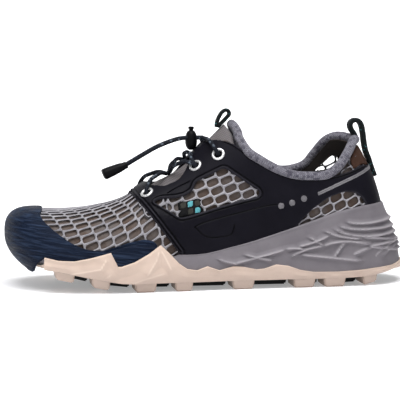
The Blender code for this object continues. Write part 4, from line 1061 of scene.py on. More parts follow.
def streaked_look(name, colour, second, lean, pale_colour):
    """Rubber with brushed streaks along the shoe, fine ones in its colour and broad ones in its surface."""
    look = Look(name, Specular_IOR_Level=0.08)
    turned = look.mapped(look.place(), Rotation=(0, lean, 0))
    fine = look.noise(look.mapped(turned, Scale=FINE_STREAKS), 5.0, 0.62, 0.5)
    broad = look.noise(look.mapped(turned, Scale=BROAD_STREAKS), 2.0, 0.5, 0.3)
    out = look.mottle(colour, second, Size=55.0, Grain=1300.0)
    look.to("Base Color", look.mixed(look.ranged(fine, 0.48, 0.70), out["Colour"], paint(*pale_colour)))
    look.to("Roughness", look.ranged(fine, 0.3, 0.7, 0.42, 0.66))
    height = look.math("MULTIPLY_ADD", broad, 2.4, look.math("MULTIPLY_ADD", out["Grain"], 0.15, fine))
    look.bump(height, 1.0, STREAK_DEPTH)
    return look.material


def cloth_look(name, colour, second, pitch, skew, along=False, bump=0.5, flecks=None, share=0.0,
               plane=(math.pi / 2, 0, 0), walls=None):
    """Woven cloth, webbing or braid: crossing threads in two tones, with a share of flecks in a third,
    painted shade between the threads and on faces that the walls attribute marks.
    """
    look = Look(name, Roughness=0.85, Specular_IOR_Level=0.15)
    vector = look.along() if along else look.mapped(look.place(), Rotation=plane)
    threads = look.group(WEAVE, Vector=vector, Pitch=pitch, Skew=skew)
    out = look.mottle(colour, second, Size=70.0, Grain=2200.0)
    # Painted shade between the threads, and on faces that the walls attribute marks
    dark = look.ranged(threads["Height"], 0.05, 0.75, 0.45, 0.0)
    if walls:
        dark = look.math("MAXIMUM", dark, look.attribute(walls))
    shade = look.mixed(dark, out["Colour"], paint(*second, 0.25))
    if flecks:
        shade = look.mixed(look.ranged(threads["Speckle"], 1 - share, 1.02 - share), shade, paint(*flecks))
    look.to("Base Color", shade)
    look.bump(look.math("MULTIPLY_ADD", out["Grain"], 0.35, threads["Height"]), bump, THREAD_DEPTH)
    return look.material


def knit_look(name, colour, second, dark_colour):
    """Heather knit: V-shaped loops in light, middle and dark yarn, painted shade between the loops, and a
    soft edge.
    """
    look = Look(name, Roughness=0.92, Specular_IOR_Level=0.12, Sheen_Weight=0.15)
    loops = look.group(KNIT, Vector=look.along())
    out = look.mottle(colour, second, Size=420.0, Grain=2400.0)
    yarn = look.mixed(look.ranged(loops["Speckle"], 0.50, 0.95, 0.0, 0.9), out["Colour"], paint(*dark_colour))
    # Painted shade between the loops
    painted_shade = look.ranged(loops["Height"], 0.02, 0.45, 0.75, 0.0)
    look.to("Base Color", look.mixed(painted_shade, yarn, paint(*dark_colour, 0.3)))
    look.bump(look.math("MULTIPLY_ADD", out["Grain"], 0.3, loops["Height"]), 0.8, LOOP_DEPTH)
    return look.material


def metal_look(name, colour, roughness):
    """Pressed metal with fine scratches."""
    look = Look(name, Metallic=0.6)
    fine = look.noise(look.mapped(look.place(), Scale=SCRATCHES), 3.0)
    look.to("Base Color", look.mixed(fine, paint(*colour), paint(*colour, 0.85)))
    look.to("Roughness", look.ranged(fine, 0.3, 0.7, roughness - 0.06, roughness + 0.1))
    look.bump(fine, 0.05, SCRATCH_DEPTH)
    return look.material


# Upper: lining and net

LINING_OUT = -2.0 * MM
LINING_IN = -2.5 * MM
LINING_RINGS = 36
LINING_RISE = 3.0 * MM
LINING_HEM = 6
LINING_WELD = 2e-5
# The sides of a square of the lining: the way to its neighbour and the ends of the edge between them
BORDERS = ((-1, 0, ((0, 0), (0, 1))), (1, 0, ((1, 0), (1, 1))),
           (0, -1, ((0, 0), (1, 0))), (0, 1, ((0, 1), (1, 1))))
MOUTH_X = -0.065
INSIDE_SHADE = 0.95
# A net's cell: one step along a row, one step up a row, half an upright strand and the strands' width
Cell = namedtuple("Cell", "along slope shift height lean post width")
VAMP_CELL = Cell(10.5 * MM, -3.0 * MM, 2.0 * MM, 6.2 * MM, 0.4 * MM, 2.45 * MM, 1.30 * MM)
WINDOW_CELL = Cell(10.25 * MM, -1.6 * MM, 2.9 * MM, 5.9 * MM, 0.4 * MM, 2.1 * MM, 1.40 * MM)
HEEL_CELL = Cell(10.0 * MM, -2.4 * MM, 3.1 * MM, 5.9 * MM, 0.4 * MM, 2.1 * MM, 1.20 * MM)
CREST_LIFT = 0.45 * MM
HOLE_LIFT = -0.25 * MM
STRAND_DEPTH = 1.45 * MM
CORNER_SHARE = 0.34
SHOWN_REACH = 1.5
WINDOW_ORIGIN = (0.0197, 0.0618)
HEEL_ORIGIN = (-0.0880, 0.0640)
BAND_ORIGIN = (-0.0950, 0.0880)
BAND_BACK, BAND_FRONT = -0.1072, -0.0780
BAND_HEIGHT = 0.074
VAMP_BACK = 0.018
VAMP_COLUMNS, VAMP_ROWS = (-5, 20), (-22, 24)
WINDOW_REACH = (-6, 7)
NET_ABOVE_BED = 3 * MM
NET_BELOW_RIM = 2 * MM
NET_CORE_HEIGHT = 0.035
NET_SHARP = math.radians(65)
NET_WELD = 0.05 * MM
WALL_WELD = 0.01 * MM
TOP_SLACK = 0.5


def top_levels():
    """Level of the top edge of the upper at each column."""
    heights = SKIN.points[SKIN.bed:, :, 2]
    levels = np.arange(SKIN.bed, SKIN.levels)
    return np.array([np.interp(top, heights[:, i], levels) for i, top in enumerate(FORM.top)])


TOP_LEVEL = top_levels()


def over_top(u, v):
    """Whether any of these places lies above the top edge of the upper."""
    return bool(np.any(v > np.interp(u % FORM.count, np.arange(FORM.count), TOP_LEVEL) + TOP_SLACK))


def lining(material):
    """A thin shell inside the upper, open behind the net under the collar. Its inner face carries painted
    shade.
    """
    columns = np.arange(FORM.count)
    top = np.minimum(TOP_LEVEL + LINING_RISE / METRIC[1], SKIN.ridge)
    rings = []
    shares = np.linspace(0, 1, LINING_RINGS)
    for lift, ups in ((LINING_OUT, shares), (LINING_IN, shares[::-1])):
        for share in ups:
            rings.append(SKIN.at(columns, SKIN.bed + (top - SKIN.bed) * share, lift))
    count = FORM.count
    rows = len(rings)
    faces = ring_faces(rows, count)
    closing = [(i, (i + 1) % count) for i in range(count)]
    walls = []
    faces += [((rows - 1) * count + i, i, j, (rows - 1) * count + j) for i, j in closing]
    shut = {(LINING_RINGS - 1) * count + i for i, j in closing if not (FORM.open[i] or FORM.open[j])}
    corners = np.array(rings[1:LINING_RINGS]) + np.array(rings[:LINING_RINGS - 1])
    middles = (corners + np.roll(corners, -1, axis=1)) / 4
    gap = np.array([[in_collar_band(*middle) for middle in row] for row in middles])
    gap[-LINING_HEM:] = False
    for r, i in np.argwhere(gap):
        shut |= {r * count + i, (rows - 2 - r) * count + i}
        for up, on, ends in BORDERS:
            if not gap[r + up, (i + on) % count]:
                (low, first), (high, last) = ends
                a, b = (i + first) % count, (i + last) % count
                walls.append(((r + low) * count + a, (r + high) * count + b,
                              (rows - 1 - r - high) * count + b, (rows - 1 - r - low) * count + a))
    faces = [face for face in faces if face[0] not in shut] + walls
    mesh = mesh_of(np.concatenate(rings), faces, "upper_lining", merge=LINING_WELD)
    # Painted shade on the inner face, which faces the middle of the mouth
    shade = mesh.attributes.new("painted_shade", "FLOAT", "POINT")
    for vertex in mesh.vertices:
        across = vertex.co - Vector((MOUTH_X, 0, vertex.co.z))
        shade.data[vertex.index].value = INSIDE_SHADE if vertex.normal.dot(across) < 0 else 0
    return piece("upper_lining", mesh, material, ["upper"])


def cell_corners(cell):
    """Corners of a cell from the middle of the upright strand at its toe side."""
    along, up = np.array([cell.along, cell.slope]), np.array([cell.shift, cell.height])
    post = np.array([cell.lean, cell.post])
    return np.array([-post, post, up - along - post, post - along, -along - post, post - up])


def corner_points(corners, easing):
    """Three points at each corner: on the edge before it, at the corner, and on the edge after it."""
    before, after = np.roll(corners, 1, axis=0), np.roll(corners, -1, axis=0)
    first = corners + (before - corners) * CORNER_SHARE
    last = corners + (after - corners) * CORNER_SHARE
    middle = corners * (1 - easing) + (first + last) / 2 * easing
    return np.stack([first, middle, last], 1).reshape(-1, 2)


def cell_rings(cell):
    """The edge of a cell along the middle of its strands, and its hole with eased corners."""
    corners = cell_corners(cell)
    edge = np.roll(corners, -1, axis=0) - corners
    edge /= np.linalg.norm(edge, axis=1)[:, None]
    centre = corners.mean(axis=0)
    inward = np.stack([-edge[:, 1], edge[:, 0]], 1)
    inward *= np.sign(((centre - corners) * inward).sum(axis=1))[:, None]
    hole = []
    for k, corner in enumerate(corners):
        sides = np.stack([inward[k - 1], inward[k]])
        hole.append(np.linalg.solve(sides, sides @ corner + cell.width / 2))
    return corners, corner_points(corners, 0.0), corner_points(np.array(hole), 0.5)


def net_cells(cell, columns, rows, place, shown):
    """Rings of a net's cells, kept where the net shows or runs in under a layer."""
    corners, crest, hole = cell_rings(cell)
    centre = corners.mean(axis=0)
    probes = np.vstack([centre + (corners - centre) * SHOWN_REACH, [centre]])
    rings = []

    def spots_of(middle, offsets):
        return np.array([place(*(middle + offset)) for offset in offsets]).T

    for column in range(*columns):
        for row in range(*rows):
            middle = column * np.array([cell.along, cell.slope]) + row * np.array([cell.shift, cell.height])
            if not any(shown(*point) for point in SKIN.at(*spots_of(middle, probes), 0.0)):
                continue
            edge, gap = spots_of(middle, crest), spots_of(middle, hole)
            if not over_top(*edge):
                rings.append((SKIN.at(*edge, CREST_LIFT), SKIN.at(*gap, HOLE_LIFT)))
    return rings


def in_outline(outline):
    loop = np.array(side_view(outline))
    return lambda x, z: bool(inside(np.array([[x, z]]), loop)[0])


IN_CAGE, IN_WINDOW, IN_HEEL_WINDOW, IN_RAND = (
    in_outline(outline) for outline in (CAGE_OUTLINE, SIDE_WINDOW, HEEL_WINDOW, RAND_OUTLINE))


def on_vamp(x, y, z):
    in_throat = x < along_to_x(VAMP_POINT) and z > TOP_OUTER(x) * HEEL_HEIGHT
    covered = IN_CAGE(x, z) or IN_RAND(x, z) or in_throat
    return not covered and z > BED(x) * INSTEP_HEIGHT + NET_ABOVE_BED and x > VAMP_BACK


def in_side_window(x, y, z):
    return IN_WINDOW(x, z)


def in_heel_window(x, y, z):
    return IN_HEEL_WINDOW(x, z) and z > RIM(x) - NET_BELOW_RIM


def in_collar_band(x, y, z):
    return BAND_BACK < x < BAND_FRONT and z > BAND_HEIGHT and not IN_CAGE(x, z)


def net_tree(material):
    """Gives the rings of the cells their thickness, marks the new walls and underside for painted shade, and
    joins them into one net.
    """
    tree = bpy.data.node_groups.new("net_strands", "GeometryNodeTree")
    tree.interface.new_socket("Geometry", in_out="INPUT", socket_type="NodeSocketGeometry")
    depth = tree.interface.new_socket("Strand Depth", in_out="INPUT", socket_type="NodeSocketFloat")
    tree.interface.new_socket("Geometry", in_out="OUTPUT", socket_type="NodeSocketGeometry")
    entry, out = tree.nodes.new("NodeGroupInput"), tree.nodes.new("NodeGroupOutput")
    weld = add_node(tree, "GeometryNodeMergeByDistance", {},
                    {"Geometry": entry.outputs["Geometry"], "Distance": NET_WELD})
    away = calc(tree, "MULTIPLY", entry.outputs["Strand Depth"], -1.0)
    wall = add_node(tree, "GeometryNodeExtrudeMesh", {"mode": "FACES"},
                    {"Mesh": weld.outputs["Geometry"], "Offset Scale": away, "Individual": False})
    # The walls and underside of the strands are marked for painted shade
    marked = add_node(tree, "GeometryNodeStoreNamedAttribute", {"data_type": "FLOAT", "domain": "FACE"},
                      {"Geometry": wall.outputs["Mesh"], "Name": "painted_shade", "Value": 1.0})
    turned = add_node(tree, "GeometryNodeFlipFaces", {}, {"Mesh": marked.outputs["Geometry"]})
    both = add_node(tree, "GeometryNodeJoinGeometry")
    tree.links.new(weld.outputs["Geometry"], both.inputs["Geometry"])
    tree.links.new(turned.outputs["Mesh"], both.inputs["Geometry"])
    closed = add_node(tree, "GeometryNodeMergeByDistance", {},
                      {"Geometry": both.outputs["Geometry"], "Distance": WALL_WELD})
    real = add_node(tree, "GeometryNodeRealizeInstances", {}, {"Geometry": closed.outputs["Geometry"]})
    paint_it = add_node(tree, "GeometryNodeSetMaterial", {},
                        {"Geometry": real.outputs["Geometry"], "Material": material})
    tree.links.new(paint_it.outputs["Geometry"], out.inputs["Geometry"])
    return tree, {depth.identifier: STRAND_DEPTH}


def grown(name, mesh, tree, values):
    """The plain mesh that a geometry tree makes from another, with the tree's named inputs set."""
    holder = placed(name + "_seed", mesh)
    modifier = holder.modifiers.new("Grow", "NODES")
    modifier.node_group = tree
    for identifier, value in values.items():
        modifier[identifier] = value
    bpy.context.view_layer.update()
    result = bpy.data.meshes.new_from_object(holder.evaluated_get(bpy.context.evaluated_depsgraph_get()))
    holder.modifiers.remove(modifier)
    bpy.data.objects.remove(holder)
    result.name = name
    result.shade_smooth()
    result.set_sharp_from_angle(angle=NET_SHARP)
    return result


def net(material):
    rings = net_cells(VAMP_CELL, VAMP_COLUMNS, VAMP_ROWS, on_level, on_vamp)
    windows = ((WINDOW_CELL, WINDOW_ORIGIN, in_side_window), (HEEL_CELL, HEEL_ORIGIN, in_heel_window),
               (HEEL_CELL, BAND_ORIGIN, in_collar_band))
    for side in (1, -1):
        for cell, (x0, z0), shown in windows:
            rings += net_cells(cell, WINDOW_REACH, WINDOW_REACH,
                               lambda x, up: SKIN.locate(x0 + x, z0 + up, side), shown)
    bm = bmesh.new()
    for crest, hole in rings:
        outer = [bm.verts.new(point) for point in crest]
        inner = [bm.verts.new(point) for point in hole]
        middle = Vector(crest.mean(axis=0))
        out = middle - Vector((middle.x, 0, NET_CORE_HEIGHT))
        for k in range(len(outer)):
            m = (k + 1) % len(outer)
            face = bm.faces.new((outer[k], outer[m], inner[m], inner[k]))
            face.normal_update()
            if face.normal.dot(out) < 0:
                face.normal_flip()
    tree, values = net_tree(material)
    mesh = grown("net", finish_mesh(bm, "net_cells", outward=False), tree, values)
    return piece("net", mesh, material, ["upper"])


# Overlays

CAGE_ROWS = (0.3 * MM, 0.8 * MM)
RAND_ROWS = (0.3 * MM, 0.9 * MM)
BELOW_RIM = 3.0 * MM
CAGE_EDGE = 0.8 * MM
RAND_EDGE = 0.9 * MM
EDGE_SPACING = 0.8 * MM
SEAM_POINTS = 12
SEAM_DEPTH = 0.01


def clamped(points, floor):
    """Side-view points lifted to a floor given as a height at each x."""
    x = along_to_x(points[:, 0])
    return np.stack([points[:, 0], np.maximum(points[:, 1], floor(x) / SHOE_LENGTH)], 1)


def half_path(points, side, end):
    """One side of a loop that runs round the heel (end 0) or the toe (end half), starting at that end."""
    path = SKIN.path(points, side)
    on_end = abs(abs(path[:, 0]) - end) < NEAR_END
    start = int(np.argmax(on_end & ~np.roll(on_end, -1)))
    path = np.roll(path, -start, axis=0)
    on_end = np.roll(on_end, -start)
    last = int(np.argmax(on_end[1:])) + 1
    return path[:last + 1]


def cage_loops():
    outline = clamped(rounded(list(CAGE_OUTLINE)), lambda x: RIM(x) - BELOW_RIM)
    outer, inner = (half_path(outline, side, 0) for side in (1, -1))
    loop = evenly(np.vstack([outer, inner[::-1]]), EDGE_SPACING)
    holes = []
    for side in (1, -1):
        for window in (SIDE_WINDOW, HEEL_WINDOW):
            holes.append(evenly(SKIN.path(rounded(list(window)), side), EDGE_SPACING))
        for x, z in side_view(EYELETS):
            holes.append(circle(*SKIN.locate(x, z, side), EYELET_HOLE))
    return [loop], holes


CAGE_FRONT_EDGE = CAGE_OUTLINE[:5]
CAGE_TOP_EDGE = CAGE_OUTLINE[9:20]
LONG_LINE = ((0.345, 0.203), (0.368, 0.201), (0.471, 0.177), (0.529, 0.163), (0.549, 0.153))
PANEL_LINE = ((0.549, 0.153), (0.521, 0.125), (0.479, 0.128), (0.455, 0.132), (0.450, 0.155))
THROAT_LINE = ((0.606, 0.231), (0.590, 0.240), (0.572, 0.249), (0.555, 0.257))
# A line's distance from its path, half its width and its height, in millimetres
FRONT_RELIEFS = ((1.6, 0.7, -0.65), (2.9, 0.6, 0.30), (4.2, 0.7, -0.65))
WINDOW_RELIEFS = ((1.0, 0.6, 0.20), (2.3, 0.75, -0.65))
LINE_RELIEFS = ((CAGE_TOP_EDGE, (1.9, 0.6, -0.50)), (LONG_LINE, (0.0, 0.75, -0.60)),
                (PANEL_LINE, (0.0, 0.7, -0.50)), (THROAT_LINE, (0.0, 0.75, -0.70)))
RAND_RELIEF = (0.0, 0.8, -0.5)


def eased(outline, passes=3):
    """An open line with its corners cut off a few times."""
    points = np.array(outline)
    for _ in range(passes):
        before, after = points[:-1], points[1:]
        cut = np.stack([0.75 * before + 0.25 * after, 0.25 * before + 0.75 * after], 1)
        points = np.vstack([points[:1], cut.reshape(-1, points.shape[1]), points[-1:]])
    return points


def side_lines(outline, side):
    return evenly(SKIN.path(list(eased(outline)), side), EDGE_SPACING, closed=False)


def relief_of(path, sizes):
    return Relief(path, *(size * MM for size in sizes))


def cage_reliefs():
    reliefs = []
    for side in (1, -1):
        front = side_lines(CAGE_FRONT_EDGE, side)
        reliefs += [relief_of(front, sizes) for sizes in FRONT_RELIEFS]
        window = SKIN.path(rounded(list(SIDE_WINDOW)), side)
        window = evenly(np.vstack([window, window[:1]]), EDGE_SPACING, closed=False)
        reliefs += [relief_of(window, sizes) for sizes in WINDOW_RELIEFS]
        reliefs += [relief_of(side_lines(line, side), sizes) for line, sizes in LINE_RELIEFS]
    return reliefs


def cage(material):
    loops, holes = cage_loops()
    mesh = overlay("cage_film", loops, holes, GAP / 2, CAGE_THICKNESS, CAGE_EDGE, CAGE_ROWS, cage_reliefs())
    return piece("cage_film", mesh, material, ["cage"])


def rand(material):
    """The toe cap: its two sides meet along the ridge, so the seam there is sampled alike on both."""
    outline = rounded(list(RAND_OUTLINE))
    halves = []
    for side in (1, -1):
        path = SKIN.path(outline, side)
        low = path[:, 1] < SKIN.ridge - SEAM_DEPTH
        off_toe = abs(abs(path[:, 0]) - FORM.half) > NEAR_END
        start = int(np.argmax(low & ~np.roll(low, 1)))
        path, off_toe = np.roll(path, -start, axis=0), np.roll(off_toe, -start)
        last = int(np.argmin(off_toe))
        first = np.array([[path[0, 0], SKIN.ridge]])
        halves.append(np.vstack([first, path[:last + 1]]))
    outer, inner = halves
    inner = np.stack([FORM.count - abs(inner[:, 0]), inner[:, 1]], 1)
    seam_start = (outer[0, 0] + FORM.count - inner[0, 0]) / 2
    outer[0, 0], inner[0, 0] = seam_start, FORM.count - seam_start
    edge = evenly(np.vstack([outer, inner[::-1]]), EDGE_SPACING, closed=False)
    over = np.linspace(seam_start, FORM.half, SEAM_POINTS)
    over = np.concatenate([over, FORM.count - over[-2::-1]])[::-1][1:-1]
    loop = np.vstack([edge, np.stack([over, np.full(len(over), SKIN.ridge)], 1)])
    reliefs = [relief_of(side_lines(RAND_GROOVE, side), RAND_RELIEF) for side in (1, -1)]
    mesh = overlay("rand_cap", [loop], [], GAP / 2, RAND_THICKNESS, RAND_EDGE, RAND_ROWS, reliefs)
    return piece("rand_cap", mesh, material, ["toe_rand"])


RAND_GROOVE = ((0.765, 0.098), (0.735, 0.106), (0.705, 0.113), (0.675, 0.117), (0.655, 0.113))
PATCH_CORNER = (0.142, 0.285)
PATCH_POINTS = 90
PATCH_UNDER_COLLAR = 0.4
PATCH_LEAST = 0.8
PATCH_HEIGHT = 0.288
PATCH_EDGE = 0.6 * MM
PATCH_ROWS = (0.3 * MM,)
PATCH_SPACING = 1.6 * MM


def heel_patch(material):
    """The brown panel between the top of the cage and the collar."""
    reach = abs(SKIN.locate(*side_view([PATCH_CORNER])[0], 1)[0])
    u = np.linspace(-reach, reach, PATCH_POINTS)
    top = np.interp(u % FORM.count, np.arange(FORM.count), TOP_LEVEL) - PATCH_UNDER_COLLAR
    outline = np.array(PATCH_LOWER_EDGE)
    low = []
    for place in u:
        column = int(round(place)) % FORM.count
        heights = SKIN.points[:, column, 2]
        along = np.interp(PATCH_HEIGHT * SHOE_LENGTH, heights, SKIN.points[:, column, 0]) / SHOE_LENGTH + 0.5
        up = np.interp(along, outline[:, 0], outline[:, 1]) * SHOE_LENGTH
        low.append(np.interp(up, heights, np.arange(SKIN.levels)))
    low = np.minimum(np.array(low), top - PATCH_LEAST)
    loop = evenly(np.vstack([np.stack([u, low], 1), np.stack([u, top], 1)[::-1]]), EDGE_SPACING)
    mesh = overlay("heel_panel", [loop], [], GAP / 2, PATCH_THICKNESS, PATCH_EDGE, PATCH_ROWS,
                   spacing=PATCH_SPACING)
    return piece("heel_panel", mesh, material, ["heel_patch"])


CAGE_TOP = GAP / 2 + CAGE_THICKNESS
DOTS = ((0.3323, 0.1997), (0.3047, 0.2067), (0.2747, 0.2163))
DOT_RADIUS = 2.5 * MM
DOT_HEIGHT = 0.55 * MM
DOT_CORNERS = 28
DOT_EDGE = 0.5 * MM
DOT_SPACING = 0.5 * MM
DOT_RING = 0.72
DOT_RELIEF = (0.0, 0.45, -0.35)
MARK_BASE = CAGE_TOP - 0.2 * MM
MARK_ROWS = (0.25 * MM,)
STRIPE = np.linspace((0.2400, 0.2262), (0.0780, 0.2915), 16)
STRIPE_HALF = 0.0053
STRIPE_HEIGHT = 0.45 * MM
STRIPE_EDGE = 0.4 * MM
STRIPE_SPACING = 1.0 * MM
STRIPE_RELIEF = (0.0, 0.5, -0.3)


def cage_marks(dot_material, stripe_material):
    """Three reflective dots and a reflective stripe on each side of the cage."""
    for word, side in SIDES:
        dots = []
        for number, (x, z) in enumerate(side_view(DOTS)):
            u, v = SKIN.locate(x, z, side)
            rim = evenly(circle(u, v, DOT_RADIUS * DOT_RING), DOT_SPACING)
            groove = relief_of(np.vstack([rim, rim[:1]]), DOT_RELIEF)
            dots.append(overlay(f"dot_{number}", [circle(u, v, DOT_RADIUS, DOT_CORNERS)], [], MARK_BASE,
                                DOT_HEIGHT, DOT_EDGE, MARK_ROWS, [groove], DOT_SPACING))
        piece(f"dots_{word}", joined(dots, f"dots_{word}"), dot_material)
        slope = np.gradient(STRIPE, axis=0)
        normal = np.stack([-slope[:, 1], slope[:, 0]], 1)
        normal *= STRIPE_HALF / np.linalg.norm(normal, axis=1)[:, None]
        outline = np.vstack([STRIPE + normal, (STRIPE - normal)[::-1]])
        loop = evenly(SKIN.path(outline, side), EDGE_SPACING)
        groove = relief_of(side_lines(STRIPE, side), STRIPE_RELIEF)
        mesh = overlay(f"stripe_{word}", [loop], [], MARK_BASE, STRIPE_HEIGHT, STRIPE_EDGE, MARK_ROWS,
                       [groove], STRIPE_SPACING)
        piece(f"stripe_{word}", mesh, stripe_material)


TAPE_FIRST = (0.5742, 0.2044)
TAPE_COLUMN = (-0.0172, 0.0026)
TAPE_ROW = (0.0000, -0.0163)
TAPE_COLUMNS, TAPE_ROWS = 3, 2
TAPE_BORDER = 0.45
TAPE_LIFT = 0.65 * MM
TAPE_SQUARE = 0.84
TAPE_ORDER = (1, 2, 1, 0)
TAPE_STEP = 0.9 * MM
TAPE_DEPTH = 0.9 * MM
TAPE_EDGE = 0.4 * MM
TAPE_SPACING = 1.2 * MM
SQUARE_STEP = 0.6 * MM
SQUARE_BASE = TAPE_LIFT - 0.1 * MM
SQUARE_HEIGHT = 0.35 * MM
SQUARE_ROWS = (0.2 * MM,)
SQUARE_SPACING = 0.9 * MM


def tape(band_material, grey_material, teal_material):
    """A woven tape in each side window, with squares woven in."""
    first, column_step, row_step = np.array(TAPE_FIRST), np.array(TAPE_COLUMN), np.array(TAPE_ROW)

    def patch(column, row, wide, high):
        middle = first + column_step * column + row_step * row
        across, up = column_step * wide / 2, row_step * high / 2
        return [middle - across - up, middle + across - up, middle + across + up, middle - across + up]

    for word, side in SIDES:
        whole = patch((TAPE_COLUMNS - 1) / 2, (TAPE_ROWS - 1) / 2, TAPE_COLUMNS + TAPE_BORDER,
                      TAPE_ROWS + TAPE_BORDER)
        loop = evenly(SKIN.path(whole, side), TAPE_STEP)
        parts = [overlay("band", [loop], [], -TAPE_DEPTH, TAPE_DEPTH + TAPE_LIFT, TAPE_EDGE, MARK_ROWS,
                         spacing=TAPE_SPACING)]
        for column in range(TAPE_COLUMNS):
            for row in range(TAPE_ROWS):
                number = TAPE_ORDER[(column - row) % len(TAPE_ORDER)]
                square = patch(column, row, TAPE_SQUARE, TAPE_SQUARE)
                loop = evenly(SKIN.path(square, side), SQUARE_STEP)
                part = overlay("square", [loop], [], SQUARE_BASE, SQUARE_HEIGHT, TAPE_EDGE, SQUARE_ROWS,
                               spacing=SQUARE_SPACING)
                part.polygons.foreach_set("material_index", np.full(len(part.polygons), number, np.int32))
                parts.append(part)
        piece(f"tape_{word}", joined(parts, f"tape_{word}"), [band_material, grey_material, teal_material])


# Sole

OUTSOLE_WALL_SHARES = np.concatenate([np.linspace(0, 0.96, 26), [1.0]])
OUTSOLE_SHARP = math.radians(13)
FACET_OUT = 1.1 * MM
FACET_IN = -0.7 * MM
FACET_PEAK = 0.8
TOP_LIP = 0.5 * MM
SLAB_LOW = 0.4
SLAB_ROUNDS = 4
UNDER_NORMAL = -0.8
FOAM_RINGS = 66
FOAM_RELIEF = 2.3 * MM
FOAM_ABOVE = 3.4 * MM
FOAM_BELOW = 1.6 * MM
FOAM_END_FADE = 4.0 * MM
FOAM_POWER = 1.6
FOAM_EDGE = 0.08
FOAM_SINK = 0.25
FOAM_START = 0.2
FOAM_LEAN = 1.5
FOAM_ROUND_FROM = 0.95
FOAM_ROUND = 0.05
FOAM_INNER_RINGS = 6
FOAM_INNER_DROP = 0.98
INSOLE_STEPS = (1, 3, 6, 12)
INSOLE_MOST = 0.9
FOAM_RIDGES = (
    ((0.172, 0.163), (0.119, 0.153), (-0.020, 0.170)), ((0.190, 0.151), (0.124, 0.138), (-0.020, 0.148)),
    ((0.206, 0.146), (0.124, 0.121), (-0.020, 0.137)), ((0.229, 0.140), (0.185, 0.122), (0.130, 0.116)),
    ((0.130, 0.116), (0.092, 0.115), (-0.020, 0.098)), ((0.315, 0.072), (0.280, 0.090), (0.224, 0.101)),
    ((0.234, 0.098), (0.177, 0.110), (0.108, 0.099)), ((0.119, 0.099), (0.070, 0.101), (-0.020, 0.118)),
    ((0.167, 0.117), (0.188, 0.092), (0.207, 0.063)), ((0.290, 0.081), (0.216, 0.072), (0.133, 0.061)),
    ((0.159, 0.073), (0.135, 0.086), (0.106, 0.096)), ((0.114, 0.098), (0.070, 0.088), (-0.020, 0.073)),
    ((0.092, 0.062), (0.070, 0.087), (-0.020, 0.117)), ((0.457, 0.062), (0.391, 0.077), (0.321, 0.095)),
    ((0.331, 0.094), (0.300, 0.096), (0.272, 0.092)), ((0.298, 0.100), (0.252, 0.110), (0.208, 0.128)),
    ((0.270, 0.126), (0.247, 0.112), (0.224, 0.097)), ((0.498, 0.078), (0.472, 0.067), (0.437, 0.061)),
    ((0.432, 0.086), (0.394, 0.075), (0.353, 0.067)))
ARC_COUNT = 10
FOAM_LIP = 0.7 * MM
CREASE_HEIGHT = 1.6 * MM
CREASE_REACH = 6.0 * MM
CREASE_CREST = 1.4 * MM
TOP_LIP_SHARES = (0.70, 0.95)
CREASES = (
    ((0.860, 0.046), (0.826, 0.051), (0.782, 0.059), (0.770, 0.078), (0.767, 0.091)),
    ((0.777, 0.033), (0.763, 0.042), (0.748, 0.051)),
    ((0.753, 0.009), (0.717, 0.019), (0.673, 0.033), (0.617, 0.047)),
    ((0.638, 0.107), (0.646, 0.078), (0.661, 0.054), (0.673, 0.033)),
    ((0.923, 0.069), (0.899, 0.045), (0.889, 0.039), (0.860, 0.036)),
    ((0.638, 0.107), (0.622, 0.078), (0.607, 0.047)))


def wrapped():
    return FORM.x < along_to_x(WRAP_END)


def forefoot():
    return FORM.x > along_to_x(FOREFOOT_START)


def tray_floor(offset):
    return BASE(FORM.x_at(offset)) + TRAY_FLOOR


def slab_edge():
    """Offset of the slab under the toe, whose height depends on it, so it is found in a few rounds."""
    offset = np.zeros(FORM.count)
    for _ in range(SLAB_ROUNDS):
        offset = FORM.undercut_offset(tray_floor(offset)) - CORE_INSET
    return offset


def wrap_inner_offset():
    return np.where(forefoot(), GAP + RAND_THICKNESS + SOLE_GAP, FLARE(FORM.x) - WRAP_THICKNESS)


def facets(x):
    """How far the outsole's side stands out over a lug and draws in between two."""
    middles = sorted(along for along, _ in EDGE_LUGS)
    places, values = [], []
    for back, front in zip(middles, middles[1:]):
        places += [back, (back + front) / 2]
        values += [FACET_OUT, FACET_IN]
    return np.interp(x, along_to_x(places + [middles[-1]]), values + [FACET_OUT])


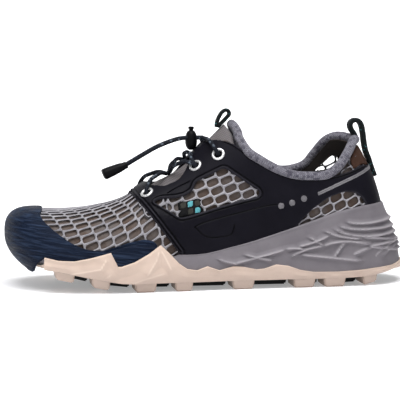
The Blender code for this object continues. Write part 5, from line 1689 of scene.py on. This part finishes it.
def outsole(side_material, tread_and_shade_material):
    """The tray with its wavy wall, faceted over the lugs, and the lugs under it. The black underside is black
    rubber that also stands for shade under the sole, and the black lugs in the gaps are painted shade.
    """
    x, wall = FORM.x, wrapped()
    flare = np.where(wall, FLARE(x), slab_edge())
    low = np.where(wall, flare, FORM.undercut_offset(BASE(FORM.x_at(flare))) - CORE_INSET) - OUTSOLE_BEVEL
    low = np.maximum(low, -FORM.depth * TOE_UNDERCUT_SHARE)
    inner = np.where(wall, wrap_inner_offset(), flare - 3 * STEP)
    floor = tray_floor(flare)
    wave = np.where(wall, WAVE(x), floor)
    base = BASE(FORM.x_at(low))
    rings = [FORM.at(low, base)]
    for share in OUTSOLE_WALL_SHARES:
        height = np.where(wall, base + STEP + (wave - base - STEP) * share,
                          base + (floor - base) * (SLAB_LOW + (1 - SLAB_LOW) * share))
        lip = TOP_LIP * np.interp(share, TOP_LIP_SHARES, (0, 1))
        swell = facets(x) * (1 - abs(2 * share - FACET_PEAK)) + lip
        swell = swell + CREASE_HEIGHT * ridges_at(x, height, CREASES, CREASE_REACH, CREASE_REACH, 1.0)
        side = np.where(wall, flare + np.where(share < 1, swell, -TOP_LIP), low * (1 - share) + flare * share)
        rings.append(FORM.at(side, height))
    rings.append(FORM.at(np.where(wall, inner, flare - 2 * STEP), np.where(wall, wave, floor)))
    rings.append(FORM.at(inner, tray_floor(inner)))
    tray = ring_solid(rings, "outsole_tray", OUTSOLE_SHARP)
    # The crests of the creases get a painted highlight
    mark_ridges(tray, CREASES, CREASE_CREST, CREASE_CREST, 1.0)
    # The underside is black rubber that also stands for the shade under the sole
    under = [int(face.normal.z < UNDER_NORMAL) for face in tray.polygons]
    tray.polygons.foreach_set("material_index", under)
    piece("outsole_tray", tray, [side_material, tread_and_shade_material], ["outsole"])
    edge_lugs, middle_lugs = [], []
    for along, length in EDGE_LUGS:
        for side in (1, -1):
            edge_lugs.append(lug(Lug(along, length, side * EDGE_LUG_ACROSS, EDGE_LUG_WIDTH), side))
    for along, length in MIDDLE_LUGS:
        middle_lugs.append(lug(Lug(along, length, 0.0, MIDDLE_LUG_WIDTH), 0))
    # Black lugs that fill the gaps between the edge lugs: painted shade under the sole
    for (front, ahead), (back, behind) in zip(EDGE_LUGS, EDGE_LUGS[1:]):
        gap = front - ahead / 2 - back - behind / 2
        for side in (1, -1):
            middle_lugs.append(lug(Lug((front - ahead / 2 + back + behind / 2) / 2, gap * SHADE_LUG_GROWTH,
                                       side * SHADE_LUG_ACROSS, SHADE_LUG_WIDTH), 0))
    piece("outsole_lugs", joined(edge_lugs, "outsole_lugs"), side_material, ["outsole"])
    piece("outsole_tread_and_shade", joined(middle_lugs, "outsole_tread_and_shade"), tread_and_shade_material, ["outsole"])


# Black lugs in the gaps between edge lugs, standing for the shade under the sole
SHADE_LUG_ACROSS = 0.40
SHADE_LUG_WIDTH = 0.016
SHADE_LUG_GROWTH = 1.1
LUG_BEVEL = 0.9 * MM
LUG_FLUSH = 0.2 * MM
LUG_INSET = 2 * MM
LUG_DRAFT = 1.5 * MM
LUG_ROOT = 3 * MM


def lug(spec, side):
    """A tapered block with eased edges. An edge lug's outer face is flush with the side of the tray."""
    x = along_to_x(spec.along)
    y = CENTRE(x) * BALL_WIDTH + spec.across * (half_width(x, 1 if spec.across >= 0 else -1) - LUG_INSET)
    bm = bmesh.new()
    bmesh.ops.create_cube(bm, size=1)
    half_length = spec.length * SHOE_LENGTH / 2
    for corner in bm.verts:
        low = corner.co.z < 0
        share = LUG_TAPER if low else 1.0
        corner_x = x + math.copysign(half_length * share, corner.co.x)
        corner_y = y + math.copysign(spec.width / 2 * share, corner.co.y)
        if side and corner.co.y * side > 0:
            reach = half_width(corner_x, side) + FLARE(corner_x)
            corner_y = CENTRE(corner_x) * BALL_WIDTH + side * (reach + LUG_FLUSH - (LUG_DRAFT if low else 0))
        up = TREAD(corner_x) if low else BASE(corner_x) + LUG_ROOT
        corner.co = (corner_x, corner_y, up)
    bmesh.ops.bevel(bm, geom=list(bm.edges), offset=LUG_BEVEL, segments=2, affect="EDGES")
    return finish_mesh(bm, "lug")


def arc(points):
    """A smooth line through three points."""
    share = np.linspace(0, 1, ARC_COUNT)[:, None]
    start, middle, end = np.array(points)
    knee = 2 * middle - (start + end) / 2
    return start * (1 - share) ** 2 + 2 * knee * share * (1 - share) + end * share ** 2


def ridge_height(x, height, ridge, above, below, power):
    """Height share of one moulded ridge, sloping down above and below its line and fading at its ends."""
    line = np.array(side_view(ridge))
    step = np.diff(line, axis=0)
    length = np.linalg.norm(step, axis=1)
    run = np.concatenate([[0], np.cumsum(length)])
    nearest_one, signed, along = np.full(x.shape, np.inf), np.zeros(x.shape), np.zeros(x.shape)
    for k, (start, way, size) in enumerate(zip(line, step, length)):
        share = np.clip(((x - start[0]) * way[0] + (height - start[1]) * way[1]) / size ** 2, 0, 1)
        dx, dz = x - start[0] - way[0] * share, height - start[1] - way[1] * share
        away = np.hypot(dx, dz)
        closer = away < nearest_one
        over = np.sign(dz - dx * way[1] / way[0])
        nearest_one, signed = np.where(closer, away, nearest_one), np.where(closer, away * over, signed)
        along = np.where(closer, run[k] + share * size, along)
    ends = np.clip(np.minimum(along, run[-1] - along) / FOAM_END_FADE, 0, 1)
    reach = np.where(signed >= 0, above, below)
    return np.clip(1 - nearest_one / reach, 0, 1) ** power * ends


def ridges_at(x, height, ridges, above, below, power):
    """Height share of the highest of some ridges."""
    return np.max([ridge_height(x, height, ridge, above, below, power) for ridge in ridges], axis=0)


FOAM_LINES = [arc(points) for points in FOAM_RIDGES]


def mark_ridges(mesh, ridges, above, below, power):
    """Stores how near each point lies to the crest of a ridge, for the material's painted highlight on the
    crests.
    """
    spots = np.array([tuple(vert.co) for vert in mesh.vertices])
    found = ridges_at(spots[:, 0], spots[:, 2], ridges, above, below, power)
    mesh.attributes.new("line", "FLOAT", "POINT").data.foreach_set("value", found)


def foam_relief(x, height, share):
    """The moulded pattern of the foam: crossing ridges like leaf veins that run into ribs round the heel."""
    found = ridges_at(x, height, FOAM_LINES, FOAM_ABOVE, FOAM_BELOW, FOAM_POWER)
    return FOAM_RELIEF * np.clip(np.minimum(share, 1 - share) / FOAM_EDGE, 0, 1) * (found - FOAM_SINK)


def midsole(material):
    x, fore = FORM.x, forefoot()
    core = np.where(fore, slab_edge() - 2 * CORE_INSET, wrap_inner_offset() - GAP)
    bottom = tray_floor(core) + GAP
    core_top = FORM.bed_at(-CORE_INSET) - SOLE_GAP
    inside_wrap = WAVE(x) > RIM(x) + STEP
    top = np.where(fore, core_top, np.where(inside_wrap, RIM(x), np.maximum(RIM(x), WAVE(x) + GAP + STEP)))
    step = np.where(inside_wrap, top - 2 * STEP, WAVE(x) - 2 * STEP)
    step = np.where(fore, bottom + (top - bottom) * SLAB_LOW, step)
    rim_inner = FORM.upper_offset(top) + SOLE_GAP
    hidden = WAVE(x) > RIM(x) - STEP
    rim_outer = np.where(hidden, core, rim_inner + RIM_THICKNESS)
    ledge = np.where(hidden, core, FLARE(x) - FOAM_LIP)
    rings = [FORM.at(core, bottom),
             FORM.at(np.where(fore, FORM.undercut_offset(step) - CORE_INSET, core), step)]
    for share in np.linspace(0, 1, FOAM_RINGS):
        height = step + (top - step) * np.where(fore, FOAM_START + (1 - FOAM_START) * share, share)
        side = ledge + (rim_outer - ledge) * share ** FOAM_LEAN
        turned = np.clip((share - FOAM_ROUND_FROM) / FOAM_ROUND, 0, 1)
        rounding = FOAM_LIP * (1 - np.sqrt(1 - turned ** 2))
        side = side + np.where(hidden, 0, foam_relief(x, height, share) - rounding)
        rings.append(FORM.at(np.where(fore, FORM.undercut_offset(height) - CORE_INSET, side), height))
    for number, drop in enumerate(np.linspace(0, FOAM_INNER_DROP, FOAM_INNER_RINGS)):
        offset = -2 * STEP * (1 + number)
        wall = top - (top - FORM.bed) * drop
        inner = FORM.upper_offset(wall) + SOLE_GAP
        height = np.where(fore, FORM.bed_at(offset) - SOLE_GAP, wall)
        rings.append(FORM.at(np.where(fore, offset, inner), height))
    mesh = ring_solid(rings, "midsole_foam")
    # The crests of the ridges get a painted highlight
    mark_ridges(mesh, FOAM_LINES, FOAM_ABOVE, FOAM_BELOW, FOAM_POWER)
    return piece("midsole_foam", mesh, material, ["midsole"])


def insole(material):
    inset = -UPPER_WALL - 2 * SOLE_GAP
    bottom = FORM.bed_at(inset) - SOLE_GAP + GAP
    top_inset = inset + FORM.upper_offset(FORM.bed + INSOLE_THICKNESS)
    rings = [FORM.at(inset, bottom), FORM.at(top_inset, bottom + INSOLE_THICKNESS - STEP)]
    for steps in INSOLE_STEPS:
        offset = np.maximum(top_inset - steps * STEP, -INSOLE_MOST * FORM.depth)
        rings.append(FORM.at(offset, FORM.bed_at(offset) + INSOLE_THICKNESS - SOLE_GAP))
    return piece("insole_sock", ring_solid(rings, "insole_sock"), material, ["insole"])


# Tongue and collar

TONGUE_ROWS = 70
TONGUE_FINE = 61
COLLAR_COUNT = 300
COLLAR_SIDES = 20
COLLAR_SKIP = 8
COLLAR_SWELL = 0.1 * MM


def under_ridge(x, turn, lift):
    """A point this far outside the upper's form at x, turned from the ridge in radians."""
    side = 1 if turn >= 0 else -1
    bed, ridge, power = BED(x) * INSTEP_HEIGHT, RIDGE(x) * INSTEP_HEIGHT, 2 / FULLNESS(x)
    across = half_width(x, side) * math.sin(abs(turn)) ** power
    up = bed + (ridge - bed) * math.cos(turn) ** power
    slope = (RIDGE(x + STEP) - RIDGE(x - STEP)) * INSTEP_HEIGHT / (2 * STEP)
    normal = Vector((-slope * math.cos(turn), side * math.sin(abs(turn)), math.cos(turn))).normalized()
    return Vector((x, CENTRE(x) * BALL_WIDTH + side * across, up)) + normal * lift


def tongue_lift(x, turn):
    """The tongue lies under the upper's wall, and its padding swells towards the top of the throat."""
    share = np.interp(x, *zip(*((along_to_x(along), pad) for along, pad in TONGUE_PAD)))
    pad = max(0.0, 1 - (turn / TONGUE_PAD_TURN) ** 2) ** 2
    return (UPPER_WALL + TONGUE_CLEARANCE) * (share * pad - 1)


def tongue_row(along, widest, count, sink=0.0):
    top_share = (along_to_x(TONGUE[0].along) - along_to_x(along)) / TONGUE_LENGTH
    points = []
    for share in np.linspace(1, -1, count):
        x = along_to_x(along) - TONGUE_BOW * top_share * share ** 2
        turn = widest * share
        points.append(under_ridge(x, turn, tongue_lift(x, turn) - sink))
    return np.array([tuple(point) for point in points])


def sheet_solid(outer, inner, name):
    """A closed layer between two grids of points with the same rows and columns."""
    rows, columns = outer.shape[:2]
    skip = rows * columns
    faces = ring_faces(rows, columns, closed=False)
    faces += [tuple(skip + k for k in reversed(face)) for face in faces]
    edge = [r * columns for r in range(rows)] + [(rows - 1) * columns + i for i in range(1, columns)]
    edge += [r * columns + columns - 1 for r in range(rows - 2, -1, -1)] + list(range(columns - 2, 0, -1))
    faces += [(a, b, skip + b, skip + a) for a, b in zip(edge, edge[1:] + edge[:1])]
    return mesh_of(np.concatenate([outer.reshape(-1, 3), inner.reshape(-1, 3)]), faces, name)


def tongue(material):
    places = np.linspace(TONGUE[0].along, TONGUE[-1].along, TONGUE_ROWS)
    widest = np.interp(-places, [-row.along for row in TONGUE], [row.turn for row in TONGUE])
    outer = np.stack([tongue_row(a, w, TONGUE_FINE) for a, w in zip(places, widest)])
    inner = np.stack([tongue_row(a, w, TONGUE_FINE, TONGUE_THICKNESS) for a, w in zip(places, widest)])
    mesh = sheet_solid(outer, inner, "tongue_pad")
    made = piece("tongue_pad", mesh, material, ["tongue"])
    return made


def collar_route():
    """Middle of the collar roll: round the topline from the heel, then over the top of the tongue."""
    mouth = [i for i in range(0, FORM.half, COLLAR_SKIP) if FORM.x[i] < along_to_x(COLLAR_LEAVES_UPPER)]
    around = [-i for i in mouth[:0:-1]] + mouth
    topline = FORM.section(FORM.angle(FORM.top))[around]
    tangent = np.gradient(topline, axis=0)
    tangent /= np.linalg.norm(tangent, axis=1)[:, None]
    above = np.array([0, 0, 1]) - tangent * tangent[:, 2:]
    above *= (COLLAR_RADIUS + COLLAR_GAP) / np.linalg.norm(above, axis=1)[:, None]
    wall = np.column_stack([FORM.outward[around], np.zeros(len(around))]) * UPPER_WALL / 2
    roll = topline - wall + above
    edge = tongue_row(TONGUE[-1].along, TONGUE[-1].turn, TONGUE_COLUMNS)
    inward = np.array(TONGUE_TOP_INWARD) * TONGUE_THICKNESS / 2
    over = edge + inward + np.array(TONGUE_TOP_DIRECTION) * COLLAR_BEHIND_TONGUE
    over = over[over[:, 2] > COLLAR_ON_TONGUE]
    heel = len(mouth) - 1
    return np.concatenate([roll[heel:], over, roll[:heel]])


def collar(material):
    route = smooth_route(collar_route(), COLLAR_COUNT, cyclic=True)
    mesh = tube(route, COLLAR_RADIUS + COLLAR_SWELL, COLLAR_SIDES, "collar_roll", cyclic=True)
    made = piece("collar_roll", mesh, material, ["collar"])
    return made


# Eyelets and lacing

EYELET_RING = ((4.95, -0.3), (4.95, 0.1), (4.8, 0.5), (4.4, 0.8), (3.9, 0.85), (3.4, 0.7), (3.05, 0.35),
               (2.9, -0.1), (2.65, -0.5), (2.65, -2.4), (2.9, -2.4), (3.0, -0.6))
# The liner and the inside of the ring are black: painted shade in the eyelet hole
EYELET_SHADE_DISC = ((2.75, 0.05), (2.6, 0.1), (1.65, -0.35), (1.65, -0.6), (2.7, -0.6))
EYELET_SHADE_RADIUS = 2.85 * MM
LATHE_STEPS = 40
LACE_SIDES = 14
LACE_FINE = 60
EYELET_LIFT = 0.15 * MM
LACE_DOWN = 2.6 * MM


def lathe(profile, name, closed=False, steps=LATHE_STEPS):
    """A solid turned round Z from (radius, height) in millimetres. Closed joins its two ends."""
    bm = bmesh.new()
    rings = []
    for radius, height in ((r * MM, h * MM) for r, h in profile):
        if radius == 0:
            rings.append([bm.verts.new((0, 0, height))] * steps)
            continue
        turns = [2 * math.pi * k / steps for k in range(steps)]
        rings.append([bm.verts.new((radius * math.cos(w), radius * math.sin(w), height)) for w in turns])
    pairs = list(zip(rings, rings[1:])) + ([(rings[-1], rings[0])] if closed else [])
    for low, high in pairs:
        for k in range(steps):
            m = (k + 1) % steps
            corners = list(dict.fromkeys((low[k], low[m], high[m], high[k])))
            if len(corners) > 2:
                bm.faces.new(corners)
    return finish_mesh(bm, name)


def eyelet_frame(number, side):
    """Place on the skin and normal of an eyelet."""
    u, v = SKIN.locate(*side_view(EYELETS)[number], side)
    place = SKIN.at([u], [v])[0]
    return Vector(place), Vector(SKIN.at([u], [v], 1 * MM)[0] - place).normalized()


def eyelet_turn(number):
    x, z = side_view(EYELETS)[number]
    bed, ridge = BED(x) * INSTEP_HEIGHT, RIDGE(x) * INSTEP_HEIGHT
    return math.acos(((z - bed) / (ridge - bed)) ** (FULLNESS(x) / 2))


def eyelets(material, hole_shade_material):
    for number in range(len(EYELETS)):
        for word, side in SIDES:
            place, normal = eyelet_frame(number, side)
            rings = [lathe(shape, "ring", closed=True) for shape in (EYELET_RING, EYELET_SHADE_DISC)]
            ring = joined(rings, "eyelet")
            # Faces inside the shade radius take the black material: painted shade in the hole
            dark = [int(math.hypot(*face.center.xy) < EYELET_SHADE_RADIUS) for face in ring.polygons]
            ring.polygons.foreach_set("material_index", dark)
            facing = normal.to_track_quat("Z", "Y").to_matrix().to_4x4()
            ring.transform(Matrix.Translation(place + normal * (CAGE_TOP + EYELET_LIFT)) @ facing)
            piece(f"eyelet_ring_{word}_{number + 1}", ring, [material, hole_shade_material],
                  [f"eyelet_{word}_{number + 1}"])


def lace_lift():
    return GAP + CAGE_THICKNESS + 2 * EYELET_MINOR * EYELET_FLATNESS + LACE_RADIUS + LACE_CLEARANCE


def lace_strand(start, end, count):
    """A strand laid over the tongue from one eyelet to another, each given as (number, side)."""
    lift_at_eyelet = lace_lift()
    x0, x1 = (along_to_x(EYELETS[number][0]) for number, _ in (start, end))
    turn0, turn1 = (eyelet_turn(number) * side for number, side in (start, end))
    points = []
    for share in np.linspace(0, 1, count):
        out = abs(2 * share - 1)
        lift = LACE_OVER_TONGUE + (lift_at_eyelet - LACE_OVER_TONGUE) * math.sqrt(out)
        points.append(under_ridge(x0 + (x1 - x0) * share, turn0 + (turn1 - turn0) * share, lift))
    knots = points[1:-1]
    for ends, place in ((start, 0), (end, len(points))):
        eyelet, normal = eyelet_frame(*ends)
        foot = [eyelet - normal * LACE_DOWN, eyelet + normal * (CAGE_TOP + LACE_RADIUS)]
        knots = foot + knots if place == 0 else knots + foot[::-1]
    return smooth_route(knots, LACE_FINE)


def lace(material):
    strands = [((0, 1), (1, -1)), ((0, -1), (1, 1)), ((1, 1), (1, -1))]
    routes = [lace_strand(start, end, LACE_POINTS) for start, end in strands]
    tubes = [tube(route, LACE_RADIUS, LACE_SIDES, "strand") for route in routes]
    return piece("lace_strands", joined(tubes, "lace_strands"), material, ["lace"])


CORD_TURN_RADIUS = 7.0 * MM
CORD_TURN = 2.2
CORD_TURN_STEPS = 6
CORD_EASE = 5
CORD_FINE = 90
CORD_IN_BELL = 1 * MM
CORD_SINK = 1 * MM
LOCK_BEHIND = 10 * MM
LOCK_AHEAD = 6 * MM


def evenly_spaced(line, count):
    """That many points along an open line, the same distance apart."""
    run = run_along(line)
    return [Vector(point) for point in at_lengths(line, run, np.linspace(0, run[-1], count))]


def lace_end(side):
    """Route of a lace end: round out of the last eyelet, through the cord lock and down to the cord end."""
    place, normal = eyelet_frame(len(EYELETS) - 1, side)
    middle = CENTRE(LOCK_X) * BALL_WIDTH + side * CORD_SPREAD
    corner = Vector((LOCK_X - LOCK_BEHIND, middle, CORD_HEIGHT))
    toward = corner - place
    toward = (toward - normal * toward.dot(normal)).normalized()
    out = place + normal * (CAGE_TOP - CORD_SINK)
    knots = [place - normal * LACE_DOWN]
    for turn in np.linspace(0, CORD_TURN, CORD_TURN_STEPS):
        knots.append(out + (toward * (1 - math.cos(turn)) + normal * math.sin(turn)) * CORD_TURN_RADIUS)
    knots += [corner, (LOCK_X + LOCK_AHEAD, middle, CORD_HEIGHT)]
    knots += [(x, middle, z) for x, z in side_view(CORD_ARC)]
    entry = np.array(CORD_END_PLACE) - np.array(CORD_END_DIRECTION) * (CORD_END_LENGTH / 2 - CORD_IN_BELL)
    knots.append(entry + np.array([0, middle, 0]))
    return evenly_spaced(eased([tuple(knot) for knot in knots], CORD_EASE), CORD_FINE)


LOCK_SHAPE = ((0, 8.8), (1.4, 8.8), (2.0, 8.5), (2.2, 7.9), (2.1, 7.2), (1.6, 6.7), (1.6, 5.9), (2.3, 5.5),
              (3.1, 4.7), (3.8, 3.2), (4.3, 1.2), (4.5, -1.0), (4.4, -3.6), (4.1, -5.4), (3.5, -6.9),
              (2.6, -8.0), (1.4, -8.7), (0, -8.9))
BELL_SHAPE = ((0, 9.4), (1.9, 9.4), (2.4, 9.0), (2.5, 6.8), (2.9, 5.2), (3.2, 3.2), (3.7, -2.0), (4.0, -7.4),
              (4.0, -8.4), (3.7, -9.5), (3.0, -10.0), (0, -10.1))


def lock_and_bells(material):
    lock = lathe(LOCK_SHAPE, "cord_lock_barrel")
    lock.transform(Matrix.Translation((LOCK_X, CENTRE(LOCK_X) * BALL_WIDTH, LOCK_HEIGHT))
                   @ Matrix.Diagonal((1, LOCK_WIDENING, 1, 1)))
    barrel = piece("cord_lock_barrel", lock, material, ["cord_lock"])
    bells = {}
    back = -Vector(CORD_END_DIRECTION)
    for word, side in SIDES:
        bell = lathe(BELL_SHAPE, f"cord_bell_{word}")
        place = Vector(CORD_END_PLACE) + Vector((0, CENTRE(LOCK_X) * BALL_WIDTH + side * CORD_SPREAD, 0))
        bell.transform(Matrix.Translation(place) @ back.to_track_quat("Z", "Y").to_matrix().to_4x4())
        bells[side] = piece(f"cord_bell_{word}", bell, material, ["cord_end"])
    return barrel, bells


def lace_ends(material):
    for word, side in SIDES:
        route = lace_end(side)
        name = f"lace_tail_{word}"
        mesh = tube(route, LACE_RADIUS, LACE_SIDES, name)
        made = piece(name, mesh, material, [f"lace_end_{word}"])


# Pull loops

HEEL_LOOP_FOOT = ((0.1200, 0.3680), (0.1165, 0.3600))
TONGUE_LOOP_FOOT = ((0.4680, 0.3890),)
STRAP_SWELL = 0.6 * MM
HEEL_STRAP_SWELL = 1.4 * MM
STRAP_FINE = 70
STRAP_SHARP = math.radians(50)
STRAP_CORNERS = 5


def strap(name, path, width, thickness, middle):
    """A flat webbing strap along a path of (x, z), its edges rounded, with a UV map in metres."""
    path = smooth_route([(x, middle, z) for x, z in path], STRAP_FINE)
    tangent = np.gradient(path, axis=0)
    normal = np.stack([-tangent[:, 2], np.zeros(len(path)), tangent[:, 0]], 1)
    normal /= np.linalg.norm(normal, axis=1)[:, None]
    across = np.array([0, 1, 0])
    half, flat = thickness / 2, width / 2 - thickness / 2
    turns = np.linspace(-math.pi / 2, math.pi / 2, STRAP_CORNERS)
    profile = [(flat + half * math.cos(w), half * math.sin(w)) for w in turns]
    profile += [(-flat - half * math.cos(w), half * math.sin(w)) for w in turns[::-1]]
    run = run_along(path)
    bm = bmesh.new()
    uv = bm.loops.layers.uv.new("along")
    rows = []
    for place, out in zip(path, normal):
        rows.append([bm.verts.new(place + across * a + out * b) for a, b in profile])
    for k, (low, high) in enumerate(zip(rows, rows[1:])):
        for i in range(len(profile)):
            j = (i + 1) % len(profile)
            face = bm.faces.new((low[i], low[j], high[j], high[i]))
            corners = ((run[k], i), (run[k], j), (run[k + 1], j), (run[k + 1], i))
            for loop, (along, place) in zip(face.loops, corners):
                loop[uv].uv = (along, profile[place][0])
    bm.faces.new(rows[0])
    bm.faces.new(rows[-1])
    return finish_mesh(bm, name, STRAP_SHARP)


def pull_loops(material):
    lift = CAGE_TOP + 2 * GAP + STRAP_THICKNESS / 2
    path = []
    for height, extra in HEEL_LOOP_ON_CAGE:
        offset = FORM.upper_offset(np.full(FORM.count, height))[0]
        path.append((FORM.edge[0, 0] + FORM.outward[0, 0] * (offset + lift + extra), height))
    path += side_view(HEEL_LOOP_FREE + HEEL_LOOP_FOOT)
    pull = strap("heel_pull", path, HEEL_LOOP_WIDTH, STRAP_THICKNESS + HEEL_STRAP_SWELL, 0.0)
    piece("heel_pull", pull, material, ["heel_loop"])
    path = side_view(TONGUE_LOOP + TONGUE_LOOP_FOOT)
    middle = CENTRE(along_to_x(TONGUE_LOOP[0][0])) * BALL_WIDTH
    pull = strap("tongue_pull", path, TONGUE_LOOP_WIDTH, STRAP_THICKNESS + STRAP_SWELL, middle)
    piece("tongue_pull", pull, material, ["tongue_loop"])


# Stage, light and camera

CAMERA_AZIMUTH = math.radians(171)
CAMERA_ELEVATION = math.radians(5)
CAMERA_DISTANCE = 1.300
CAMERA_TARGET = (0.00418, 0.0, 0.062)
CAMERA_LENS = 156.1
FLOOR_COLOUR = (0.80, 0.80, 0.82)
FLOOR_SECOND = (0.78, 0.78, 0.80)
FLOOR_GLOW = 0.30
BACKDROP_GLOW = 0.95
GLOW_REACH = (-0.2, -0.75)
FLOOR_PATCHES = 4.0
SWEEP = ((2.2, 0.0), (-1.9, 0.0), (-2.2, 0.03), (-2.45, 0.12), (-2.60, 0.30), (-2.65, 0.60), (-2.65, 1.60))
SWEEP_HALF_WIDTH = 2.6
CAMERA_SENSOR = 36
WORLD_STRENGTH = 0.20
# A lamp's name, place, aim, size and power
LAMPS = (
    ("key", (0.35, 0.95, 0.95), (0, 0, 0.05), (0.6, 0.5), 3.0),
    ("top", (0.05, 0.30, 1.25), (0, 0.1, 0.0), (1.1, 0.8), 22),
    ("fill", (-0.8, 0.9, 0.5), (0, 0, 0.05), (0.7, 0.7), 0.6))


def stage():
    """A pale floor that sweeps up behind the shoe."""
    bm = bmesh.new()
    rows = [[bm.verts.new((side * SWEEP_HALF_WIDTH, y, z)) for side in (-1, 1)] for y, z in SWEEP]
    for low, high in zip(rows, rows[1:]):
        bm.faces.new((low[0], low[1], high[1], high[0]))
    bmesh.ops.subdivide_edges(bm, edges=bm.edges, cuts=3, use_grid_fill=True)
    floor = placed("floor", finish_mesh(bm, "floor", math.pi))
    paper = Look("floor_paper", Emission_Color=paint(1, 1, 1), Specular_IOR_Level=0.1)
    out = paper.mottle(FLOOR_COLOUR, FLOOR_SECOND, Size=FLOOR_PATCHES)
    paper.to("Base Color", out["Colour"])
    paper.to("Roughness", paper.ranged(out["Patch"], 0.0, 1.0, 0.75, 0.85))
    paper.to("Emission Strength", paper.ranged(paper.place_part("Y"), *GLOW_REACH, FLOOR_GLOW, BACKDROP_GLOW))
    floor.data.materials.append(paper.material)


def area_light(name, place, aim, size, power):
    light = bpy.data.lights.new(name, "AREA")
    light.shape = "RECTANGLE"
    light.size, light.size_y = size
    light.energy = power
    holder = placed(name, light)
    holder.location = place
    holder.rotation_euler = (Vector(aim) - Vector(place)).to_track_quat("-Z", "Y").to_euler()


def studio():
    world = bpy.data.worlds.new("studio")
    bpy.context.scene.world = world
    world.use_nodes = True
    world.node_tree.nodes["Background"].inputs["Color"].default_value = (1, 1, 1, 1)
    world.node_tree.nodes["Background"].inputs["Strength"].default_value = WORLD_STRENGTH
    for lamp in LAMPS:
        area_light(*lamp)
    bpy.context.scene.view_settings.view_transform = "Standard"


def camera():
    data = bpy.data.cameras.new("camera")
    data.lens = CAMERA_LENS
    data.sensor_width = CAMERA_SENSOR
    holder = placed("camera", data)
    back = Vector((math.sin(CAMERA_AZIMUTH) * math.cos(CAMERA_ELEVATION),
                   -math.cos(CAMERA_AZIMUTH) * math.cos(CAMERA_ELEVATION), math.sin(CAMERA_ELEVATION)))
    holder.location = Vector(CAMERA_TARGET) + back * CAMERA_DISTANCE
    holder.rotation_euler = back.to_track_quat("Z", "Y").to_euler()
    bpy.context.scene.camera = holder


def main():
    film = film_look("black_film", (0.0052, 0.0048, 0.0080), (0.0074, 0.0069, 0.0110), (0.050, 0.048, 0.058))
    navy = streaked_look("navy_rubber", (0.0030, 0.0072, 0.0205), (0.0046, 0.0100, 0.0250), 0.12,
                         (0.026, 0.043, 0.084))
    # The foam's ridge crests get a painted highlight
    foam = mottled("grey_foam", (0.150, 0.138, 0.154), (0.185, 0.171, 0.187), 0.75, size=45.0, grain=1400.0,
                   bump=0.25, crest=(0.33, 0.31, 0.33), Specular_IOR_Level=0.25)
    # Painted highlight on the crease crests and painted shade towards the floor
    beige = mottled("beige_rubber", (0.66, 0.520, 0.435), (0.60, 0.470, 0.392), 0.62, size=40.0, bump=0.12,
                    crest=(0.80, 0.66, 0.56), low=(0.40, 0.315, 0.27), Specular_IOR_Level=0.3)
    # Black rubber for the tread, which also stands for the shade under the sole
    black_rubber_and_shade = mottled("black_rubber_and_shade", (0.009, 0.009, 0.010), (0.014, 0.014, 0.015), 0.6, bump=0.3,
                           Specular_IOR_Level=0.25)
    # The walls attribute gives painted shade to the strand walls and to the lining's inner face
    strands = cloth_look("net_strands", (0.43, 0.42, 0.45), (0.34, 0.33, 0.36), 0.5 * MM, 0.4, bump=0.25,
                         walls="painted_shade")
    lining_cloth = cloth_look("lining_cloth", (0.125, 0.085, 0.067), (0.185, 0.160, 0.152), 0.9 * MM, 0.5,
                              bump=0.6, walls="painted_shade")
    brown = cloth_look("brown_cloth", (0.075, 0.036, 0.024), (0.052, 0.024, 0.016), 1.0 * MM, 0.6, bump=0.5)
    tongue_cloth = cloth_look("tongue_cloth", (0.200, 0.183, 0.189), (0.158, 0.144, 0.149), 1.3 * MM, 0.5,
                              bump=0.6)
    knit = knit_look("collar_knit", (0.31, 0.30, 0.345), (0.20, 0.193, 0.235), (0.075, 0.070, 0.100))
    sock = cloth_look("sock_cloth", (0.060, 0.052, 0.052), (0.045, 0.038, 0.038), 1.0 * MM, 0.4,
                      plane=(0, 0, 0))
    steel = metal_look("eyelet_steel", (0.86, 0.86, 0.87), 0.24)
    cord = cloth_look("cord_braid", (0.012, 0.014, 0.021), (0.018, 0.021, 0.030), LACE_GIRTH / 4, 1.0,
                      along=True, bump=0.9, flecks=(0.10, 0.12, 0.15), share=0.08)
    plastic = mottled("black_plastic", (0.004, 0.004, 0.005), (0.006, 0.006, 0.007), 0.40, bump=0.1,
                      Specular_IOR_Level=0.06)
    webbing = cloth_look("webbing", (0.008, 0.011, 0.012), (0.013, 0.017, 0.019), 0.9 * MM, 0.0, bump=0.9,
                         flecks=(0.05, 0.16, 0.17), share=0.05)
    grey_mark = mottled("grey_mark", (0.150, 0.144, 0.156), (0.12, 0.114, 0.126), 0.5, size=300.0, bump=0.3)
    olive = cloth_look("olive_weave", (0.060, 0.060, 0.052), (0.042, 0.042, 0.036), 0.7 * MM, 0.0, bump=0.7)
    teal = cloth_look("teal_weave", (0.16, 0.52, 0.58), (0.11, 0.42, 0.48), 0.7 * MM, 0.0, bump=0.6)
    tape_cloth = cloth_look("tape_cloth", (0.005, 0.005, 0.006), (0.009, 0.009, 0.010), 0.9 * MM, 0.0,
                            bump=0.6)
    stage()
    studio()
    camera()
    barrel, bells = lock_and_bells(plastic)
    lace_ends(cord)
    lace(cord)
    outsole(beige, black_rubber_and_shade)
    midsole(foam)
    insole(sock)
    lining(lining_cloth)
    net(strands)
    cage(film)
    cage_marks(grey_mark, grey_mark)
    tape(tape_cloth, olive, teal)
    rand(navy)
    heel_patch(brown)
    tongue(tongue_cloth)
    collar(knit)
    # plastic also paints the shade inside the eyelet holes
    eyelets(steel, plastic)
    pull_loops(webbing)


main()
